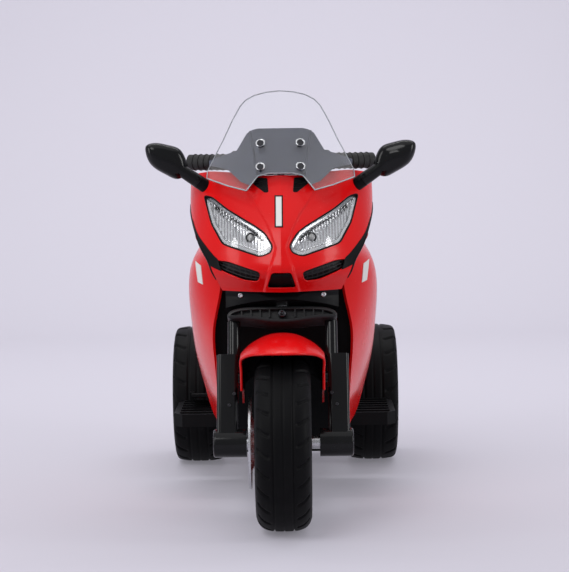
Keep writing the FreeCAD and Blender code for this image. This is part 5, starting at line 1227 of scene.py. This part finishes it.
    def make_side_painted_highlight(self, side, sign):
        """A slim pale patch on each fairing that paints a highlight beside the mask's lower corner: a
        four-sided patch carried back along y to the panel's face, and thickened."""
        inner = np.array([(0.1415, 0.4070), (0.1450, 0.4400)]) * (sign, 1.0)
        outer = np.array([(0.1510, 0.4100), (0.1565, 0.4460)]) * (sign, 1.0)
        u, v = np.linspace(0.0, 1.0, 9)[:, None, None], np.linspace(0.0, 1.0, 25)[None, :, None]
        flat = (1 - u) * ((1 - v) * inner[0] + v * inner[1]) + u * ((1 - v) * outer[0] + v * outer[1])
        patch = grid_piece(f"side_painted_highlight_{side}", xyz(flat[..., 0], AXLE.y + 0.05, flat[..., 1]))
        add_modifier(patch, "SHRINKWRAP", target=NODES[f"side_fairing_{side}"], wrap_method="PROJECT",
                     use_project_y=True, use_negative_direction=True, use_positive_direction=True,
                     offset=0.0010, wrap_mode="OUTSIDE_SURFACE")
        add_modifier(patch, "SOLIDIFY", thickness=0.0012, offset=0.0)
        turn_outwards(bake_modifiers(patch))
        split_edges(patch, 35.0)
        # White finish on the red fairing: the patch is a painted highlight.
        fit(patch, "chassis", "lamp_lens", finish="dial_white")


class RIDEON_OT_body_trim(RideOnOperator, bpy.types.Operator):
    """Sill beads and screws along the floor pan, the fluted tail lens and the dial's marks"""

    bl_idname = "rideon.body_trim"
    bl_label = "Body trim"

    def execute(self, context):
        self.make_sills()
        self.make_tail_lens()
        self.make_dial_marks()
        return {"FINISHED"}

    def make_sills(self):
        """A rubber bead where the body stands on the pan, and a row of round screw heads under it."""
        bead_radius, screw_radius, margin = 0.0028, 0.0055, 0.02
        low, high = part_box("floor_pan")
        y = np.linspace(low.y + margin, high.y - margin, 60)
        beads, screws = [], []
        for sign in SIDES.values():
            x = sign * (high.x - 0.0004)
            path = xyz(x, y, high.z - 0.001)
            beads.append(tube_piece("bead", path, bead_radius, 8, False, (0.0, 0.0, 1.0)))
            for share in (0.06, 0.30, 0.56):
                place = (x, low.y + share * (high.y - low.y), high.z - 0.022)
                screws.append(turned_piece("screw", SILL_SCREW * screw_radius, place, (sign, 0.0, 0.0), 24))
        fit(joined("sill_beads", beads), "chassis", "black_plastic", finish="grip_rubber")
        fit(joined("sill_screws", screws), "chassis", "steel")

    def make_tail_lens(self):
        """A grid over the lamp's face whose depth follows upright flutes between two level bars; its border
        turns forward to the body."""
        top_width, flute_depth, flute_pitch, edge_depth = 0.30 / 0.34, 0.0016, 0.0036, 0.0022
        low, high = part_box("tail_light")
        u, v = np.meshgrid(np.linspace(-1.0, 1.0, 121), np.linspace(-1.0, 1.0, 41), indexing="ij")
        x = u * (1 - (1 - top_width) * (v + 1) / 2) * (high.x - low.x) / 2
        z = (low.z + high.z) / 2 + v * (high.z - low.z) / 2
        edge = np.clip(np.minimum(1 - np.abs(u), (1 - np.abs(v)) / 2) / 0.06, 0.0, 1.0)
        bars = np.exp(-((np.abs(v) - 0.34) / 0.07)**4)
        flutes = flute_depth * np.abs(np.sin(x * math.pi / flute_pitch)) * (1 - bars)
        y = high.y - edge_depth * (1 - np.sqrt(1 - (1 - edge)**2)) - flutes * edge
        x, z = (np.pad(k, 1, mode="edge") for k in (x, z))
        y = np.pad(y, 1, constant_values=low.y)
        lens = turn_outwards(grid_piece("tail_lens", xyz(x, y, z)))
        split_edges(lens, 50.0)
        fit(lens, "chassis", "tail_red", "tail_light")

    def make_dial_marks(self):
        """Marks round three quarters of the dial and a needle: flat bars at even angles."""
        count, needle = 19, np.array([0.55, 0.83, 0.0])
        low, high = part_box("speed_dial")
        middle, radius = (low + high) / 2, (high.x - low.x) / 2
        angle = np.radians(np.linspace(-135.0, 135.0, count))
        out = xyz(np.sin(angle), np.cos(angle), 0.0) * radius
        level = np.array((middle.x, middle.y, high.z + 0.0001))
        start = level + out * np.where(np.arange(count) % 3 == 0, 0.70, 0.80)[:, None]
        start = np.concatenate([start, [level - needle * radius * 0.15]])
        end = np.concatenate([level + out * 0.92, [level + needle * radius * 0.78]])
        across = 0.0006 * unit(np.cross(end - start, (0.0, 0.0, 1.0)))
        marks = bars_piece("dial_marks", start, end, across, (0.0, 0.0, 0.0003))
        dome = [(0.0, 0.0016), (0.0022, 0.0014), (0.0028, 0.0)]
        hub = turned_piece("dial_hub", dome, level, (0.0, 0.0, 1.0), 20)
        fit(joined("dial_marking", [marks, hub]), "chassis", "black_plastic")


FLOOR_GLOW = 0.34
LIGHTS = [
    ("key_softbox", "ELLIPSE", (-1.3, -2.4, 2.7), (0.0, -0.2, 0.45), (1.9, 1.6), 36.0),
    ("top_softbox", "ELLIPSE", (0.0, 0.0, 3.4), (0.0, 0.001, 0.3), (6.0, 5.0), 44.0),
    ("backdrop_light", "RECTANGLE", (0.0, 1.2, 3.3), (0.0, 3.8, 1.2), (4.0, 1.0), 96.0),
    ("left_panel", "ELLIPSE", (-2.2, -0.9, 0.9), (0.0, -0.2, 0.4), (0.7, 1.7), 13.0),
    ("right_panel", "ELLIPSE", (2.2, -0.9, 0.9), (0.0, -0.2, 0.4), (0.7, 1.7), 17.0),
]


class RIDEON_OT_stage(RideOnOperator, bpy.types.Operator):
    """Floor with a curved backdrop, soft lights and the camera"""

    bl_idname = "rideon.stage"
    bl_label = "Stage"

    def execute(self, context):
        self.make_floor()
        self.make_lights(context)
        self.make_camera(context)
        context.scene.view_settings.view_transform = "Standard"
        return {"FINISHED"}

    def make_floor(self):
        """A profile of floor, quarter turn and wall, carried straight across from side to side."""
        half, front, back, turn, wall = 7.0, -7.0, 2.6, 1.2, 5.0
        angle = np.linspace(0.0, math.pi / 2, 25)
        y = np.concatenate([[front, 0.0, back - 0.05], back + turn * np.sin(angle), [back + turn]])
        z = np.concatenate([[0.0, 0.0, 0.0], turn * (1 - np.cos(angle)), [wall]])
        floor = grid_piece("floor", xyz(np.linspace(-half, half, 3)[:, None], y[None, :], z[None, :]))
        if mesh_arrays(floor)[1][0, 2] < 0:
            floor.data.flip_normals()
        floor.data.materials.append(self.floor_material())

    def floor_material(self):
        """A slightly clouded tint that glows only where it is seen, not as light on the object, and that is
        clear from behind."""
        tint = tuple(colours().floor)
        material, tree, shader, where = new_material("Studio floor", Roughness=0.75, Specular_IOR_Level=0.1,
                                                     Emission_Color=rgba(tint))
        rays = add_node(tree, "ShaderNodeLightPath").outputs
        seen = maths(tree, "MAXIMUM", rays["Is Camera Ray"], rays["Is Glossy Ray"])
        seen = maths(tree, "MAXIMUM", seen, rays["Is Transmission Ray"])
        tree.links.new(maths(tree, "MULTIPLY", seen, FLOOR_GLOW), shader.inputs["Emission Strength"])
        cloud = add_node(tree, "ShaderNodeTexNoise", {"Vector": where, "Scale": 0.7, "Detail": 2.0})
        base = mix_colour(tree, cloud.outputs[0], rgba(tint, 0.985), rgba(tint))
        tree.links.new(base, shader.inputs["Base Color"])
        behind = add_node(tree, "ShaderNodeNewGeometry").outputs["Backfacing"]
        clear = add_node(tree, "ShaderNodeBsdfTransparent")
        shown = add_node(tree, "ShaderNodeMixShader", {0: behind, 1: shader.outputs[0], 2: clear.outputs[0]})
        output = next(node for node in tree.nodes if node.type == "OUTPUT_MATERIAL")
        tree.links.new(shown.outputs[0], output.inputs["Surface"])
        return material

    def make_lights(self, context):
        """A pale world, and area lights that face their targets."""
        world = bpy.data.worlds.new("Studio")
        context.scene.world = world
        world.use_nodes = True
        background = world.node_tree.nodes["Background"]
        background.inputs["Color"].default_value = (0.90, 0.90, 0.95, 1.0)
        background.inputs["Strength"].default_value = 0.48
        for name, shape, place, target, size, power in LIGHTS:
            light = bpy.data.lights.new(name, "AREA")
            light.shape = shape
            light.size, light.size_y = size
            light.energy = power
            lamp = add_object(name, light)
            lamp.location = place
            lamp.rotation_euler = (Vector(target) - Vector(place)).to_track_quat("-Z", "Y").to_euler()

    def make_camera(self, context):
        """The photograph's camera: set off from the front axle, turned, tipped and rolled."""
        stage = context.scene.ride_on_stage
        place = Vector((stage.offset, AXLE.y - stage.distance, stage.height))
        yaw = math.atan2(stage.offset, stage.distance) + stage.swing
        level = math.cos(stage.pitch)
        ahead = Vector((-math.sin(yaw) * level, math.cos(yaw) * level, -math.sin(stage.pitch)))
        right = ahead.cross(Vector((0.0, 0.0, 1.0))).normalized()
        up = right.cross(ahead)
        across = right * math.cos(stage.roll) - up * math.sin(stage.roll)
        upward = right * math.sin(stage.roll) + up * math.cos(stage.roll)
        turn = Matrix((across, upward, -ahead)).transposed().to_4x4()
        data = bpy.data.cameras.new("photo_camera")
        data.sensor_fit = "VERTICAL"
        data.sensor_height = 36.0
        data.lens = stage.lens
        data.clip_end = 50.0
        camera = add_object("photo_camera", data)
        camera.matrix_world = Matrix.Translation(place) @ turn
        context.scene.camera = camera


OPERATORS = (RIDEON_OT_finishes, RIDEON_OT_nose_mask, RIDEON_OT_headlamps, RIDEON_OT_tyres,
             RIDEON_OT_windscreen, RIDEON_OT_front_trim, RIDEON_OT_seat, RIDEON_OT_body_trim, RIDEON_OT_stage)


class RIDEON_PT_panel(bpy.types.Panel):
    """Lists the pieces and their values"""

    bl_label = "Ride-on motorbike"
    bl_idname = "RIDEON_PT_panel"
    bl_space_type = "VIEW_3D"
    bl_region_type = "UI"
    bl_category = "Ride-on"

    def draw(self, context):
        for operator in OPERATORS:
            self.layout.operator(operator.bl_idname)
        scene = context.scene
        for group in (scene.ride_on_colours, scene.ride_on_sizes, scene.ride_on_stage):
            box = self.layout.box()
            for key in group.__annotations__:
                box.prop(group, key)


CLASSES = (RideOnColours, RideOnSizes, RideOnStage) + OPERATORS + (RIDEON_PT_panel,)


def register():
    """Adds the classes and the scene's values."""
    for cls in CLASSES:
        bpy.utils.register_class(cls)
    bpy.types.Scene.ride_on_colours = PointerProperty(type=RideOnColours)
    bpy.types.Scene.ride_on_sizes = PointerProperty(type=RideOnSizes)
    bpy.types.Scene.ride_on_stage = PointerProperty(type=RideOnStage)


def unregister():
    """Takes the scene's values and the classes away again."""
    del bpy.types.Scene.ride_on_stage
    del bpy.types.Scene.ride_on_sizes
    del bpy.types.Scene.ride_on_colours
    for cls in reversed(CLASSES):
        bpy.utils.unregister_class(cls)


def main():
    """Runs every operator in order."""
    register()
    for operator in OPERATORS:
        group, name = operator.bl_idname.split(".")
        getattr(getattr(bpy.ops, group), name)()


if __name__ == "__main__":
    main()
